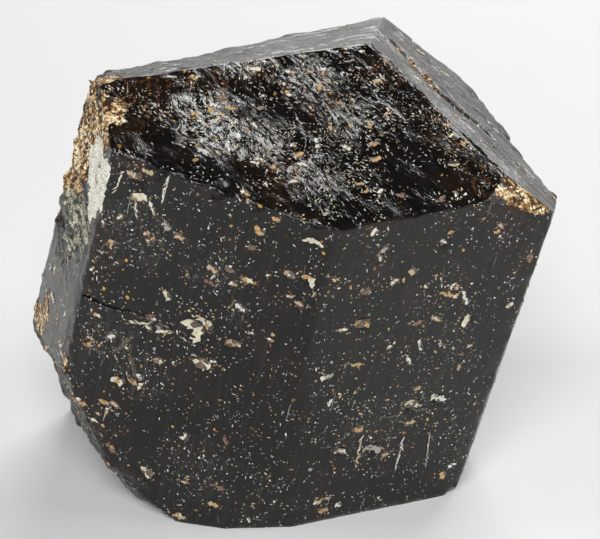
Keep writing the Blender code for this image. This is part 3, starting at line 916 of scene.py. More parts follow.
def terraces(p, along):
    """Low growth steps with worn risers, under ribs and nicks that run along the face."""
    level = wave("step_level", p)
    step = math.floor(level) + min(1.0, (level % 1.0) * RISER_STEEPNESS)
    ribs = wave("ribs", p - along * p.dot(along) * RIB_STRETCH)
    nicks = hollows("nicks", p - along * p.dot(along) * NICK_STRETCH)
    return STEP_HEIGHT * step + wave("uneven", p) + ribs - nicks


def broken(p):
    """A hackly break with shell-like scoops."""
    fine = wave("break_grain", p) + scales("on_breaks", p)
    return wave("roll", p) - abs(wave("scoops", p)) + wave("hackle", p) + fine


def crust(p):
    """How far the rough matrix on the upper left edge stands out at p, in mm."""
    away = p - CRUST_MIDDLE
    reach = Vector((away.x, away.y, away.z * CRUST_FLATTENING)).length
    cover = min(1.0, max(0.0, (CRUST_REACH * MM - reach) / (CRUST_BORDER * MM)))
    fine = wave("crust_grain", p) + scales("on_crust", p)
    return cover * (CRUST_THICKNESS + wave("lumps", p) + fine)


def relief(name, p, features):
    """How far the real surface stands out from its ideal plane at p, in metres."""
    planes = features["planes"]
    surface = planes[name][2]
    if surface == "flat":
        return 0.0
    height = wave("smooth_roll", p)
    if surface == "hills":
        height = hills(p, features["run"])
    elif surface == "terraces":
        height = terraces(p, features["grain"][name])
    elif surface == "broken":
        height = broken(p)
    elif surface == "rough":
        height = wave("rough_roll", p) - hollows("pockets", p) + wave("rough_grain", p)
    else:
        height -= hollows("pinholes", p)
    if name in CRUSTED_FACES:
        height += crust(p)
    if name == "prism_left":
        height += zone("mica", p, (name,)) * scales("on_mica", p)
    if name == "pyramid_right":
        height -= FURROW_DEPTH * dip(distance_to_line(p, features["furrow"]), FURROW_WIDTH * MM)
    if name in ("prism_front", "prism_left"):
        ran_in = 1.0 - min(1.0, (p - features["split"][0]).length / (SPLIT_LENGTH * MM))
        height -= SPLIT_DEPTH * ran_in * dip(split_distance(p, features), SPLIT_WIDTH * MM)
    for centre, radius, depth in features["pits"].get(name, ()):
        height -= depth * dip((p - centre).length, radius * MM)
    for pair, depth in WORN_EDGES.items():
        if name in pair:
            normal, point, _ = planes[pair[1] if name == pair[0] else pair[0]]
            inward = max(0.0, (point - p).dot(normal))
            height -= depth * dip(inward, WORN_REACH * MM) * (WORN_LEAST + wave("wear", p))
    if surface != "broken":
        inward = edge_distance(name, p, features)
        height -= EDGE_ROUNDING * dip(inward, EDGE_REACH * MM) * (1.0 + wave("edge_wear", p))
    return height * MM


def split_distance(p, features):
    """Distance from p to the split, which runs a little jagged."""
    jog = Vector((0.0, 0.0, wave("split_jog", p) * MM))
    return distance_to_line(p + jog, features["split"])


def edge_distance(name, p, features):
    """Distance from p to the nearest plane that meets this face, never below zero."""
    planes = features["planes"]
    nearest = math.inf
    for other in features["neighbours"][name]:
        normal, point, _ = planes[other]
        nearest = min(nearest, (point - p).dot(normal))
    return max(0.0, nearest)


def zone(kind, p, names):
    """How much of a look there is at p on these faces, from 0 to 1, with an uneven border."""
    most = 0.0
    for face in names:
        for middle, reach, strength in ZONES[kind].get(face, ()):
            away = (p / MM - Vector(middle)).length / reach
            if away < ZONE_END:
                share = ZONE_FADE - ZONE_FADE * away + wave("zone_border", p)
                most = max(most, strength * min(1.0, share))
    return most


def face_loop(ring, spots, owners, edge_points):
    """A face's outline as point numbers. An edge is divided once and shared by its two faces."""
    loop = []
    for a, b in zip(ring, ring[1:] + ring[:1]):
        key = (min(a, b), max(a, b))
        if key not in edge_points:
            new = divided(spots[key[0]], spots[key[1]], EDGE_SPACING * MM)
            edge_points[key] = list(range(len(spots), len(spots) + len(new)))
            spots += new
            owners += [set() for _ in new]
        between = edge_points[key] if key[0] == a else edge_points[key][::-1]
        loop += [a, *between]
    return loop


def surface_points(planes, corners, rings):
    """Points and triangles all over the ideal body, the faces that each point lies on, and the face
    that each triangle belongs to."""
    spots = [c.copy() for c in corners]
    owners = [set() for _ in spots]
    edge_points = {}
    triangles = []
    faces = []
    for name, ring in rings.items():
        normal, origin, _ = planes[name]
        u, v = axes_of(normal)
        to_2d = Matrix((u, v))
        loop = face_loop(ring, spots, owners, edge_points)
        outline = [to_2d @ (spots[i] - origin) for i in loop]
        corner_ring = [to_2d @ (spots[i] - origin) for i in ring]
        inner = shaken_grid(corner_ring, SPACING.get(name, OTHER_SPACING) * MM, len(loop))
        if name == "prism_front":
            line = [on_face(planes[name], x, z=z) for x, z in SPLIT]
            inner = finer_near([to_2d @ (p - origin) for p in line], inner, corner_ring)
        border = [(i, (i + 1) % len(loop)) for i in range(len(loop))]
        made = delaunay_2d_cdt(outline + inner, border, [], INSIDE_ONLY, SAME_POINT)
        numbers = loop + list(range(len(spots), len(spots) + len(inner)))
        spots += [origin + u * p.x + v * p.y for p in inner]
        owners += [set() for _ in inner]
        for i in numbers:
            owners[i].add(name)
        for triangle in made[2]:
            triangles.append([numbers[made[3][i][0]] for i in triangle])
            faces.append(name)
    return spots, owners, triangles, faces


def moved(p, names, features):
    """p shifted so that it stands out from each face that it lies on by that face's relief."""
    normals = [features["planes"][n][0] for n in names]
    heights = [relief(n, p, features) for n in names]
    if len(names) == 1:
        return p + normals[0] * heights[0]
    if len(names) == 2:
        lean = normals[0].dot(normals[1])
        first = (heights[0] - lean * heights[1]) / (1.0 - lean * lean)
        second = (heights[1] - lean * heights[0]) / (1.0 - lean * lean)
        return p + normals[0] * first + normals[1] * second
    steep = Matrix(normals[:3])
    if len(names) > 3 or abs(steep.determinant()) < LEAST_DETERMINANT:
        return p
    return p + steep.inverted() @ Vector(heights)


def in_box(point):
    """The point, or the nearest one inside the box of the solid, whose bottom is the floor."""
    low, high = cad_box
    return Vector([min(max(c, a), b) for c, a, b in zip(point, low, high)])


def grain_of(name, planes):
    """The direction of a face's streaks and the direction across them."""
    normal = planes[name][0]
    front = planes["pyramid_front"][0]
    if name in ("pyramid_front", "pyramid_right"):
        along = front.cross(planes["pyramid_right"][0])
    elif name == "pyramid_left":
        along = front.cross(normal)
    else:
        along = LEAN.to_matrix() @ Vector((0.0, 0.0, 1.0))
    along = (along - normal * along.dot(normal)).normalized()
    return along, normal.cross(along)


def map_islands(planes, corners, rings):
    """Where each face's island lies in the map: its axes, its lowest corner, its scale and its place."""
    boxes = []
    for name, ring in rings.items():
        along, across = grain_of(name, planes)
        flat = [(corners[i].dot(along), corners[i].dot(across)) for i in ring]
        low = (min(x for x, _ in flat), min(y for _, y in flat))
        high = (max(x for x, _ in flat), max(y for _, y in flat))
        weight = MAP_WEIGHT.get(name, OTHER_MAP_WEIGHT)
        boxes.append((name, low, (high[0] - low[0]) * weight, (high[1] - low[1]) * weight, weight))
    boxes.sort(key=lambda box: -box[3])
    scale = MAP_FIRST_SCALE
    places = shelved(boxes, scale)
    while not places:
        scale *= MAP_SHRINKING
        places = shelved(boxes, scale)
    return {
        name: (*grain_of(name, planes), low, weight * scale, places[name])
        for name, low, _, _, weight in boxes
    }


def shelved(boxes, scale):
    """Places of the boxes on shelves in a unit square at this scale, or nothing if they don't fit."""
    x, y, shelf = MAP_GAP, MAP_GAP, 0.0
    places = {}
    for name, _, wide, high, _ in boxes:
        if x + wide * scale + MAP_GAP > 1.0:
            x = MAP_GAP
            y += shelf + MAP_GAP
            shelf = 0.0
        if y + high * scale + MAP_GAP > 1.0 or wide * scale + 2 * MAP_GAP > 1.0:
            return None
        places[name] = (x, y)
        x += wide * scale + MAP_GAP
        shelf = max(shelf, high * scale)
    return places


# Nodes


class Web:
    """A material's nodes, with short calls for the ones that it is built from."""

    def __init__(self, name, roughness, ior):
        self.material = bpy.data.materials.new(name)
        self.material.use_nodes = True
        self.tree = self.material.node_tree
        self.shader = self.tree.nodes["Principled BSDF"]
        self.shader.inputs["Roughness"].default_value = roughness
        self.shader.inputs["IOR"].default_value = ior

    def add(self, kind, inputs, **settings):
        """A node with its settings, its inputs set or linked."""
        node = self.tree.nodes.new("ShaderNode" + kind)
        for key, value in settings.items():
            setattr(node, key, value)
        for key, value in inputs.items():
            self.put(value, node.inputs[key])
        return node

    def put(self, value, socket):
        """Links a socket to a socket, or sets its value."""
        if isinstance(value, bpy.types.NodeSocket):
            self.tree.links.new(value, socket)
        else:
            socket.default_value = value

    def calc(self, operation, a, b=0.0, c=0.0):
        return self.add("Math", {0: a, 1: b, 2: c}, operation=operation).outputs[0]

    def times(self, a, b):
        return self.calc("MULTIPLY", a, b)

    def plus(self, a, b):
        return self.calc("ADD", a, b)

    def either(self, a, b):
        return self.calc("MAXIMUM", a, b)

    def ramp(self, value, low, high):
        """0 at low and 1 at high, smooth between them."""
        inputs = {"Value": value, "From Min": low, "From Max": high, "To Min": 0.0, "To Max": 1.0}
        return self.add("MapRange", inputs, interpolation_type="SMOOTHSTEP").outputs[0]

    def between(self, value, low, high):
        """low where value is 0 and high where it is 1."""
        inputs = {"Value": value, "From Min": 0.0, "From Max": 1.0, "To Min": low, "To Max": high}
        return self.add("MapRange", inputs).outputs[0]

    def blend(self, share, a, b):
        """Colour a turned into colour b by a share."""
        node = self.add("Mix", {0: share, 6: a, 7: b}, data_type="RGBA")
        return node.outputs[2]

    def vector(self, operation, a, b=(0.0, 0.0, 0.0)):
        node = self.add("VectorMath", {0: a, 1: b}, operation=operation)
        return node.outputs["Value" if operation == "LENGTH" else "Vector"]

    def attribute(self, name, output="Fac"):
        return self.add("Attribute", {}, attribute_name=name).outputs[output]

    def body_place(self):
        """The place on the body, in mm."""
        where = self.add("TexCoord", {}).outputs["Object"]
        return self.vector("MULTIPLY", where, (1.0 / MM, 1.0 / MM, 1.0 / MM))

    def grain_place(self):
        """The place on a face, in mm along and across its streaks."""
        return self.attribute("grain", "Vector")

    def noise(self, place, size, detail=2.0, rough=0.5, squeeze=EVENLY, output="Fac"):
        """Noise with features of a size in mm."""
        scale = tuple(share / size for share in squeeze)
        inputs = {"Vector": self.vector("MULTIPLY", place, scale), "Scale": 1.0, "Detail": detail}
        inputs["Roughness"] = rough
        return self.add("TexNoise", inputs).outputs[output]

    def field(self, kind, place):
        """Noise of one of the kinds in FIELDS."""
        return self.noise(place, *FIELDS[kind])

    def shown(self, value, kind):
        """How much of a thing shows, from 0 to 1, between its LIMITS."""
        return self.ramp(value, *LIMITS[kind])

    def shaken(self, place, size, amount):
        """The place moved about by noise of a size, by up to about half an amount."""
        shake = self.noise(place, size, output="Color")
        centred = self.vector("SUBTRACT", shake, (0.5, 0.5, 0.5))
        return self.vector("ADD", place, self.vector("MULTIPLY", centred, (amount, amount, 0.0)))

    def marks(self, place, kind, share, turn):
        """A mask of short marks in a share of the cells. turn is the spread of directions."""
        cell, length, width, seed, soft = MARKS[kind]
        start = self.vector("ADD", place, (seed * MARK_SHIFT[0], seed * MARK_SHIFT[1], 0.0))
        scaled = self.vector("MULTIPLY", start, (1.0 / cell[0], 1.0 / cell[1], 0.0))
        cells = self.add("TexVoronoi", {"Vector": scaled, "Scale": 1.0}, voronoi_dimensions="2D")
        away = self.vector("SUBTRACT", scaled, cells.outputs["Position"])
        in_mm = self.vector("MULTIPLY", away, (cell[0], cell[1], 0.0))
        chance = self.add("SeparateColor", {"Color": cells.outputs["Color"]})
        swing = math.radians(turn)
        angle = self.between(chance.outputs[0], -swing, swing)
        turned = self.add("VectorRotate", {"Vector": in_mm, "Angle": angle}, rotation_type="Z_AXIS")
        shaped = self.vector("MULTIPLY", turned.outputs[0], (1.0 / length, 1.0 / width, 0.0))
        size = self.between(chance.outputs[1], MARK_LEAST_SIZE, 1.0)
        reach = self.calc("DIVIDE", self.vector("LENGTH", shaped), size)
        inside = self.ramp(reach, 1.0, 1.0 - soft)
        faded = self.calc("POWER", chance.outputs[0], MARK_FADING)
        strength = self.between(faded, MARK_LEAST_STRENGTH, 1.0)
        shown = self.calc("LESS_THAN", chance.outputs[2], share)
        return self.times(self.times(inside, strength), shown)


def rgba(colour, factor=1.0):
    return tuple(channel * factor for channel in colour) + (1.0,)


def mark_masks(web, look, face, ragged, stream):
    """Masks of the pale marks, which are partly mica and partly painted glints, the gold grains and the
    dark cuts of a surface.
    """
    crowd = web.shown(web.field("crowd", face), "crowd")
    patch = web.either(web.times(crowd, CROWD_SHARE), web.attribute("glint"))
    near = web.between(patch, *look["near"])
    near = web.times(near, web.between(web.attribute("dark"), 1.0, DARK_LEAST))

    def often(share):
        return web.times(near, share)

    dots = web.marks(ragged, "dots", often(look["dots"]), ANY_TURN)
    blots = web.marks(ragged, "blots", often(look["dots"] * BLOTS_TO_DOTS), ANY_TURN)
    dashes = web.marks(ragged, "dashes", often(look["dashes"]), look["turn"])
    twigs = web.marks(ragged, "twigs", often(look["dashes"]), look["turn"])
    lines = web.marks(stream, "lines", often(look["lines"]), LINE_TURN)
    grains = web.marks(ragged, "grains", often(look["grains"]), ANY_TURN)
    specks = web.marks(ragged, "specks", often(look["grains"] * SPECKS_TO_GRAINS), ANY_TURN)
    cuts = web.marks(stream, "cuts", look["cuts"], look["turn"] * CUT_TURN)
    pale_and_glints = web.either(web.either(dots, dashes), web.either(web.either(twigs, lines), blots))
    return pale_and_glints, web.either(grains, specks), cuts


def overgrowth(web, body, crumbs):
    """The look and the cover of the sugary mica, the crust and the sheet of mica that grew on it."""
    face = web.grain_place()
    edge = web.times(crumbs, CRUMB_SHARE)

    grit = web.field("grit", face)
    sugar = web.blend(web.shown(grit, "sugar"), rgba(SUGAR_BLACK), rgba(GREY_MICA))
    sugar = web.blend(web.shown(grit, "pale_sugar"), sugar, rgba(SUGAR_CREAM))
    sugar_cover = web.shown(web.plus(web.attribute("sugar"), edge), "sugar_cover")

    jagged = web.shaken(body, *CRUST_SHAKE)
    cells = web.add("TexVoronoi", {"Vector": jagged, "Scale": 1.0 / CRUST_GRAIN})
    pick = web.add("SeparateColor", {"Color": cells.outputs["Color"]}).outputs[0]
    level = web.plus(web.field("soil", body), web.between(pick, -CRUST_CHANGE, CRUST_CHANGE))
    soil = rgba(DARK_SOIL)
    for tone, low, high in CRUST_TONES:
        soil = web.blend(web.ramp(level, low, high), soil, rgba(tone))
    soil_cover = web.shown(web.plus(web.attribute("crust"), edge), "crust_cover")

    levels = web.times(web.field("contours", face), CONTOURS)
    line = web.shown(web.calc("PINGPONG", levels, 0.5), "mica_line")
    leaf = web.blend(line, rgba(LEAF_LINE), rgba(CREAM_MICA))
    leaf_cover = web.shown(web.plus(web.attribute("mica"), edge), "mica_cover")
    return ((sugar, sugar_cover), (soil, soil_cover), (leaf, leaf_cover))


def stone(name, look):
    """Near-black tourmaline with brown stains, pale dashes and dots that are partly painted glints, a
    painted white haze of glints, gold grains, rust, mica and painted shade in its hollows.
    """
    web = Web("dravite_" + name, look["roughness"], DRAVITE_IOR)
    web.shader.inputs["Specular IOR Level"].default_value = look["specular"]
    body = web.body_place()
    face = web.grain_place()
    stream = web.shaken(face, SWIRL_SIZE, look["swirl"] * SWIRL_GROWTH)
    ragged = web.shaken(stream, *RAGGED)
    pale_and_glints, gold, cuts = mark_masks(web, look, face, ragged, stream)
    streaks = web.field("streaks", face)
    crumbs = web.field("crumbs", body)

    stain = web.attribute("stain")
    brown = web.shown(web.plus(web.field("brown", body), web.times(stain, STAIN_SHARE)), "brown")
    tint = web.blend(web.times(brown, look["brown"]), rgba(BLACK_STONE), rgba(BROWN_STONE))
    light_streak = web.times(web.shown(streaks, "streaks"), look["streak"] * STREAK_SHARE)
    tint = web.blend(light_streak, tint, rgba(GREY_MICA))
    rusty = web.times(stain, web.shown(web.field("rust", ragged), "rust"))
    tint = web.blend(web.times(rusty, RUST_SHARE), tint, rgba(RUST))
    # A white fibrous haze in the colour is a painted glint of the rough facets, thickest in the glint
    # patches.
    glint_fibres = web.shown(web.field("glint_fibres", ragged), "glint_fibres")
    thick = web.shown(web.plus(web.attribute("glint"), web.field("painted_glints", face)), "painted_glints")
    tint = web.blend(web.times(web.times(glint_fibres, thick), look["painted_glints"]), tint, rgba(PAINTED_GLINT_WHITE))
    tint = web.blend(gold, tint, rgba(GOLD_MARK))
    # Pale marks: specks and streaks of mica, and on the hills mostly painted glints of small facets.
    tint = web.blend(pale_and_glints, tint, rgba(PALE_MARK_AND_GLINT))
    tint = web.blend(cuts, tint, rgba(DEEP_BLACK))
    dull = web.either(web.either(pale_and_glints, gold), cuts)
    for colour, cover in overgrowth(web, body, crumbs):
        tint = web.blend(cover, tint, colour)
        dull = web.either(dull, cover)
    # Painted shade: the hollows and the split are darkened towards black.
    pit_shade = web.attribute("pit_shade")
    tint = web.blend(web.times(pit_shade, PIT_SHADE_SHARE), tint, rgba(DEEP_BLACK))
    web.put(tint, web.shader.inputs["Base Color"])

    gloss = web.between(web.field("gloss", face), *GLOSS_CHANGE)
    matt = web.between(web.either(dull, pit_shade), look["roughness"], DULL_ROUGHNESS)
    web.put(web.plus(matt, gloss), web.shader.inputs["Roughness"])

    fine = web.times(web.field("fine", ragged), FINE_BUMP)
    groove = web.calc("SUBTRACT", web.times(streaks, look["streak"]), web.times(cuts, CUT_BUMP))
    height = web.plus(web.plus(fine, groove), web.times(pale_and_glints, PALE_BUMP))
    height = web.plus(height, web.times(dull, web.times(crumbs, CRUMB_BUMP)))
    bump = web.add("Bump", {"Strength": 1.0, "Distance": look["bump"] * MM, "Height": height})
    web.put(bump.outputs[0], web.shader.inputs["Normal"])
    return web.material


def mica():
    """Pale platy mica and gold-brown grains, coloured by flake, with fine cleavage lines."""
    web = Web("mica", MICA_ROUGHNESS, MICA_IOR)
    body = web.body_place()
    own = web.attribute("tone", "Color")
    patches = web.shown(web.field("flake_stain", body), "flake_stain")
    tint = web.blend(patches, web.blend(FLAKE_STAIN, own, rgba(RUST)), own)
    leaves = web.shown(web.field("leaves", body), "leaves")
    tint = web.blend(web.times(leaves, LEAF_SHARE), tint, rgba(LEAF_SHEEN))
    web.put(tint, web.shader.inputs["Base Color"])
    web.put(web.between(leaves, *LEAF_ROUGHNESS), web.shader.inputs["Roughness"])
    bump = web.add("Bump", {"Strength": LEAF_BUMP_STRENGTH, "Distance": LEAF_BUMP * MM, "Height": leaves})
    web.put(bump.outputs[0], web.shader.inputs["Normal"])
    return web.material


def write_attributes(mesh, spots, owners, faces, features, islands):
    """What the materials read: patches and the painted shade of the hollows by point, and places along the
    grain and in the map by corner.
    """
    planes = features["planes"]
    for kind in ZONES:
        layer = mesh.attributes.new(kind, "FLOAT", "POINT")
        shares = [zone(kind, p, names) for p, names in zip(spots, owners)]
        layer.data.foreach_set("value", shares)
    # Painted shade: how deep each point lies in a hollow or the split.
    pit_shade = mesh.attributes.new("pit_shade", "FLOAT", "POINT")
    pit_shade.data.foreach_set("value", [pit_shade_at(p, names, features) for p, names in zip(spots, owners)])
    grain = mesh.attributes.new("grain", "FLOAT_VECTOR", "CORNER")
    layout = mesh.uv_layers.new(name="OFBake", do_init=False)
    along_grain = []
    in_map = []
    order = {name: number for number, name in enumerate(planes)}
    for polygon, name in zip(mesh.polygons, faces):
        along, across, low, scale, place = islands[name]
        for i in polygon.vertices:
            x = spots[i].dot(along)
            y = spots[i].dot(across)
            along_grain += [x / MM, y / MM, GRAIN_STEP * order[name]]
            in_map += [place[0] + (x - low[0]) * scale, place[1] + (y - low[1]) * scale]
    grain.data.foreach_set("vector", along_grain)
    layout.uv.foreach_set("vector", in_map)


def pit_shade_at(p, names, features):
    """How deep in a hollow or the split p lies, from 0 to 1: the share of painted shade there."""
    deepest = 0.0
    for name in names:
        for centre, radius, _ in features["pits"].get(name, ()):
            deepest = max(deepest, dip((p - centre).length, radius * PIT_SHADE_RIM * MM))
        if name in ("prism_front", "prism_left"):
            ran_in = 1.0 - min(1.0, (p - features["split"][0]).length / (SPLIT_LENGTH * MM))
            deepest = max(deepest, ran_in * dip(split_distance(p, features), SPLIT_WIDTH * MM))
    return deepest


def find_neighbours(rings):
    """The faces that share an edge with each face."""
    sides = {}
    for name, ring in rings.items():
        for a, b in zip(ring, ring[1:] + ring[:1]):
            sides.setdefault((min(a, b), max(a, b)), []).append(name)
    found = {name: set() for name in rings}
    for first, second in sides.values():
        found[first].add(second)
        found[second].add(first)
    return {name: sorted(others) for name, others in found.items()}


def crystal_features(planes, rings):
    """What the relief needs to know about the crystal."""
    pits = {}
    for face, hollows_there in PITS.items():
        pits[face] = [(on_face(planes[face], x, z=z), *size) for x, z, *size in hollows_there]
    return {
        "planes": planes,
        "neighbours": find_neighbours(rings),
        "grain": {name: grain_of(name, planes)[0] for name in planes},
        "run": planes["pyramid_front"][0].cross(planes["pyramid_right"][0]).normalized(),
        "pits": pits,
        "split": [on_face(planes["prism_front"], x, z=z) for x, z in SPLIT],
        "furrow": [on_face(planes["pyramid_right"], x, y=y) for x, y in FURROW],
    }


def crystal(features, corners, rings):
    """The whole crystal with its fine surface, as one closed mesh."""
    planes = features["planes"]
    spots, owners, triangles, faces = surface_points(planes, corners, rings)
    owners = [sorted(names) for names in owners]
    points = [TIP + moved(p, names, features) for p, names in zip(spots, owners)]
    points = [in_box(p) for p in points]
    mesh = bpy.data.meshes.new("dravite")
    mesh.from_pydata(points, [], triangles)
    looks = list(LOOKS)
    for kind in looks:
        mesh.materials.append(stone(kind, LOOKS[kind]))
    numbers = [looks.index(LOOK_OF.get(name, "front")) for name in faces]
    mesh.polygons.foreach_set("material_index", numbers)
    mesh.polygons.foreach_set("use_smooth", [planes[n][2] not in HACKLY for n in faces])
    write_attributes(mesh, spots, owners, faces, features, map_islands(planes, corners, rings))
    piece = bpy.data.objects.new("dravite", mesh)
    bpy.context.scene.collection.objects.link(piece)
    return piece


class Plates:
    """Ragged plates of mica gathered for one mesh, each closed all round."""

    def __init__(self, features, seed):
        self.features = features
        self.chance = random.Random(seed)
        self.points = []
        self.triangles = []
        self.tones = []

    def out_from(self, name, p, lift):
        """The point that stands out by lift mm from the real surface at p."""
        normal = self.features["planes"][name][0]
        return in_box(TIP + p + normal * (relief(name, p, self.features) + lift * MM))

    def add(self, name, p, size, turn, tone, lift, count):
        """One plate of count corners that lies over the surface at p; none where it would overhang."""
        if edge_distance(name, p, self.features) < 0.5 * max(size) * MM:
            return
        along, across = grain_of(name, self.features["planes"])
        chance = self.chance
        first = len(self.points)
        shade = chance.uniform(*PLATE_SHADE)
        for i in range(count):
            angle = 2 * math.pi * (i + chance.uniform(-CORNER_SHAKE, CORNER_SHAKE)) / count
            reach = chance.uniform(*CORNER_REACH) / 2 * (CORNER_NOTCH if i % 2 else 1.0)
            x = math.cos(angle) * reach * size[0]
            y = math.sin(angle) * reach * size[1]
            u = x * math.cos(turn) - y * math.sin(turn)
            v = x * math.sin(turn) + y * math.cos(turn)
            corner = p + (along * u + across * v) * MM
            self.points.append(self.out_from(name, corner, lift + chance.uniform(*CORNER_LIFT)))
            self.tones.append(rgba(TONES[tone], shade * chance.uniform(*CORNER_SHADE)))
        self.points.append(self.out_from(name, p, lift + chance.uniform(*CROWN_LIFT)))
        self.tones.append(rgba(TONES[tone], shade))
        self.points.append(self.out_from(name, p, -ROOT_DEPTH))
        self.tones.append(rgba(TONES["rust"]))
        for i in range(count):
            a, b = first + i, first + (i + 1) % count
            self.triangles.append((a, b, first + count))
            self.triangles.append((b, a, first + count + 1))

    def add_cluster(self, name, p, length, width, turn, tone):
        """A torn flake: a brown bed, a black plate of painted shadow beside it, the plates on it, and
        crumbs about it.
        """
        chance = self.chance
        along, across = grain_of(name, self.features["planes"])
        if tone in ("gold", "tan") or chance.random() < BED_SHARE:
            size = (length * BED[0], width * BED[1])
            self.add(name, p, size, turn, "umber", BED_LIFT, CORNERS["bed"])
        # The black plate beside the flake is painted shadow: the shade of the hollow that the flake sits
        # in.
        beside = p - across * PAINTED_SHADOW_SHIFT * width * MM
        size = (length * PAINTED_SHADOW[0], width * PAINTED_SHADOW[1])
        self.add(name, beside, size, turn, "black", PAINTED_SHADOW_LIFT, CORNERS["bed"])
        plates = 1 + round(length / CLUSTER_PLATE)
        for i in range(plates):
            ahead = ((i + 0.5) / plates - 0.5) * length * CLUSTER_SPREAD
            aside = chance.uniform(-CLUSTER_SHIFT, CLUSTER_SHIFT) * width
            u = ahead * math.cos(turn) - aside * math.sin(turn)
            v = ahead * math.sin(turn) + aside * math.cos(turn)
            lap = chance.uniform(*CLUSTER_LAP)
            size = (length / plates * lap, width * chance.uniform(*CLUSTER_NARROWING))
            own = tone
            if tone != "black" and chance.random() < MIXED_SHARE:
                own = chance.choice(MIXED_TONES)
            place = p + (along * u + across * v) * MM
            own_turn = turn + chance.uniform(-CLUSTER_TURN, CLUSTER_TURN)
            lift = CLUSTER_LIFT + CLUSTER_STEP * i
            self.add(name, place, size, own_turn, own, lift, CORNERS["plate"])
        for _ in range(round(length * CRUMBS_TO_MM)):
            away = chance.uniform(*CRUMB_AWAY) * length
            angle = chance.uniform(0, 2 * math.pi)
            size = chance.uniform(*CRUMB_SIZE)
            own = chance.choice(CRUMB_TONES)
            place = p + (along * math.cos(angle) + across * math.sin(angle)) * away * MM
            size = (size, size * CRUMB_SLIMNESS)
            self.add(name, place, size, angle, own, CRUMB_LIFT, CORNERS["crumb"])

    def piece(self, name, material):
        """The plates as one object."""
        mesh = bpy.data.meshes.new(name)
        mesh.from_pydata(self.points, [], self.triangles)
        layer = mesh.attributes.new("tone", "FLOAT_COLOR", "POINT")
        layer.data.foreach_set("color", [channel for tone in self.tones for channel in tone])
        mesh.materials.append(material)
        made = bpy.data.objects.new(name, mesh)
        bpy.context.scene.collection.objects.link(made)
        return made


def strewn_places(name, ring, corners, features, count, crowding, chance):
    """Random places on a face, more of them where the mica crowds."""
    normal, origin, _ = features["planes"][name]
    u, v = axes_of(normal)
    flat = [Vector(((corners[i] - origin).dot(u), (corners[i] - origin).dot(v))) for i in ring]
    low = (min(p.x for p in flat), min(p.y for p in flat))
    high = (max(p.x for p in flat), max(p.y for p in flat))
    places = []
    while len(places) < count:
        spot = Vector((chance.uniform(low[0], high[0]), chance.uniform(low[1], high[1])))
        p = origin + u * spot.x + v * spot.y
        if depth_in_ring(spot, flat) < STREWN_MARGIN * MM:
            continue
        patches = zone("glint", p, (name,)) - CROWD_DARK * zone("dark", p, (name,))
        change = CROWD_BY_PATCH * patches + wave("crowd", p) + wave("close_crowd", p)
        if chance.random() < max(CROWD_LEAST, CROWD_USUAL + crowding * change):
            places.append(p)
    return places


def ring_area(ring, corners):
    """The area of a flat ring of corners."""
    total = Vector((0.0, 0.0, 0.0))
    for a, b in zip(ring[1:], ring[2:]):
        total += (corners[a] - corners[ring[0]]).cross(corners[b] - corners[ring[0]])
    return total.length / 2


def add_placed_flakes(plates, planes):
    """The larger flakes, each at its own place."""
    for name, flakes_there in FLAKES:
        second_axis = "y" if name.startswith("pyramid") else "z"
        for x, second, length, width, turn, tone in flakes_there:
            p = on_face(planes[name], x, **{second_axis: second})
            size = (length * FLAKE_GROWTH, width * FLAKE_GROWTH)
            plates.add_cluster(name, p, *size, math.radians(90 - turn), tone)


def add_strewn_flakes(plates, name, surface, places):
    """A small flake at each place: a cluster of plates where it is long, and else one plate."""
    chance = plates.chance
    _, shares = STREWN[surface]
    small, large = STREWN_SIZE
    for p in places:
        length = small + (large - small) * chance.random() ** LENGTH_POWER
        width = length * chance.uniform(*STREWN_SLIMNESS)
        tone = chance.choices(list(shares), list(shares.values()))[0]
        turn = chance.uniform(0, math.pi)
        if length > CLUSTER_LENGTH:
            plates.add_cluster(name, p, length, width, turn, tone)
        else:
            plates.add(name, p, (length, width), turn, tone, PLATE_LIFT, CORNERS["strewn"])


def add_specks(plates, name, surface, places):
    """A speck at each place. On the hills it lies along the streaks, and the white ones there are partly
    painted glints.
    """
    chance = plates.chance
    _, small, large, slim = SPECKS[surface]
    for p in places:
        length = small + (large - small) * chance.random() ** LENGTH_POWER
        tone = chance.choices(list(SPECK_TONES), list(SPECK_TONES.values()))[0]
        turn = chance.uniform(0, math.pi)
        if surface == "hills":
            turn = wave("sliver_turn", p) + chance.gauss(0, SLIVER_SPREAD)
        size = (length, max(SPECK_LEAST_WIDTH, length * slim))
        plates.add(name, p, size, turn, tone, PLATE_LIFT, CORNERS["speck"])


def mica_flakes(features, corners, rings):
    """All the mica that stands on the faces, as one joined mesh."""
    plates = Plates(features, FLAKE_SEED)
    planes = features["planes"]
    add_placed_flakes(plates, planes)
    for name, ring in rings.items():
        surface = planes[name][2]
        if surface not in STREWN:
            continue
        square_cm = ring_area(ring, corners) / (10 * MM) ** 2

        def places(density, crowding):
            count = round(density * square_cm)
            return strewn_places(name, ring, corners, features, count, crowding, plates.chance)

        add_strewn_flakes(plates, name, surface, places(STREWN[surface][0], FLAKE_CROWDING))
        add_specks(plates, name, surface, places(SPECKS[surface][0], SPECK_CROWDING))
    return plates.piece("mica_flakes", mica())


def paper_material():
    """Plain pale paper with a faint uneven tone."""
    web = Web("pale_paper", PAPER_ROUGHNESS, PAPER_IOR)
    darker, lighter = (rgba(FLOOR_COLOUR, share) for share in FLOOR_CHANGE)
    tint = web.blend(web.field("paper", web.body_place()), darker, lighter)
    web.put(tint, web.shader.inputs["Base Color"])
    return web.material


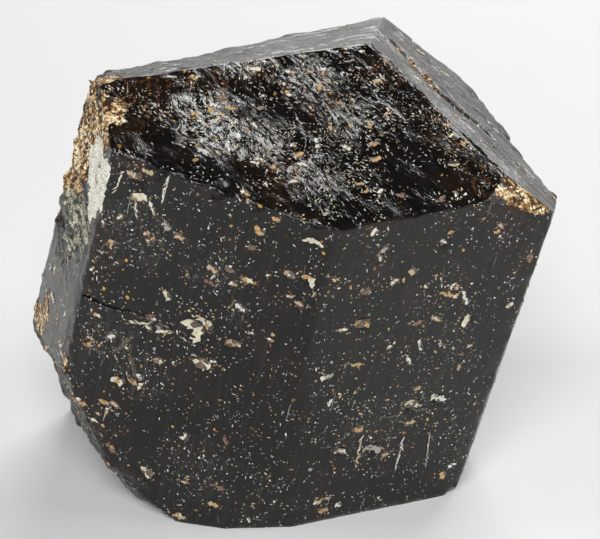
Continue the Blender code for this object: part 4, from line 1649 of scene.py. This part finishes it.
def sweep_of_paper():
    """The floor and the backdrop as one sheet that curves up behind."""
    bend = SHEET_BACK - SHEET_RADIUS
    profile = [(SHEET_FRONT, 0.0), (bend, 0.0)]
    for i in range(1, SHEET_STEPS + 1):
        turn = math.pi / 2 * i / SHEET_STEPS
        profile.append((bend + SHEET_RADIUS * math.sin(turn), SHEET_RADIUS - SHEET_RADIUS * math.cos(turn)))
    profile.append((SHEET_BACK, SHEET_RISE))
    points = [(x, y, z) for y, z in profile for x in (-SHEET_HALF_WIDTH, SHEET_HALF_WIDTH)]
    quads = [(2 * i, 2 * i + 1, 2 * i + 3, 2 * i + 2) for i in range(len(profile) - 1)]
    mesh = bpy.data.meshes.new("floor")
    mesh.from_pydata(points, [], quads)
    mesh.shade_smooth()
    mesh.materials.append(paper_material())
    floor = bpy.data.objects.new("floor", mesh)
    bpy.context.scene.collection.objects.link(floor)
    return floor


def soft_light(name, place, target, width, height, radiance):
    """A rectangular area light of an even radiance, turned towards a point."""
    data = bpy.data.lights.new(name, "AREA")
    data.shape = "RECTANGLE"
    data.size = width
    data.size_y = height
    data.energy = radiance * math.pi * width * height
    lamp = bpy.data.objects.new(name, data)
    lamp.location = place
    lamp.rotation_euler = (Vector(target) - Vector(place)).to_track_quat("-Z", "Y").to_euler()
    bpy.context.scene.collection.objects.link(lamp)


def light_the_scene():
    """A dark room with soft boxes round the stone and none right above it, so that its front stays
    black between the glints."""
    world = bpy.data.worlds.new("studio")
    world.use_nodes = True
    background = world.node_tree.nodes["Background"]
    background.inputs["Color"].default_value = (WORLD_GREY, WORLD_GREY, WORLD_GREY, 1.0)
    bpy.context.scene.world = world
    for name, (place, target, width, height, radiance) in SOFT_LIGHTS.items():
        soft_light(name, place, target, width, height, radiance)


def add_camera():
    """The camera at the photograph's place."""
    data = bpy.data.cameras.new("camera")
    data.lens = CAMERA_LENS
    data.sensor_width = CAMERA_SENSOR
    data.clip_start = CAMERA_NEAR
    camera = bpy.data.objects.new("camera", data)
    camera.location = CAMERA_PLACE
    camera.rotation_euler = (math.radians(CAMERA_TILT), 0.0, 0.0)
    bpy.context.scene.collection.objects.link(camera)
    bpy.context.scene.camera = camera


planes = planes_in_place()
corners, rings = cut_block(planes)
features = crystal_features(planes, rings)

body = crystal(features, corners, rings)
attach(body, "root")
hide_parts("dravite_crystal")

flakes = mica_flakes(features, corners, rings)
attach(flakes, "root")

sweep_of_paper()
light_the_scene()
add_camera()
bpy.context.scene.view_settings.view_transform = "Standard"
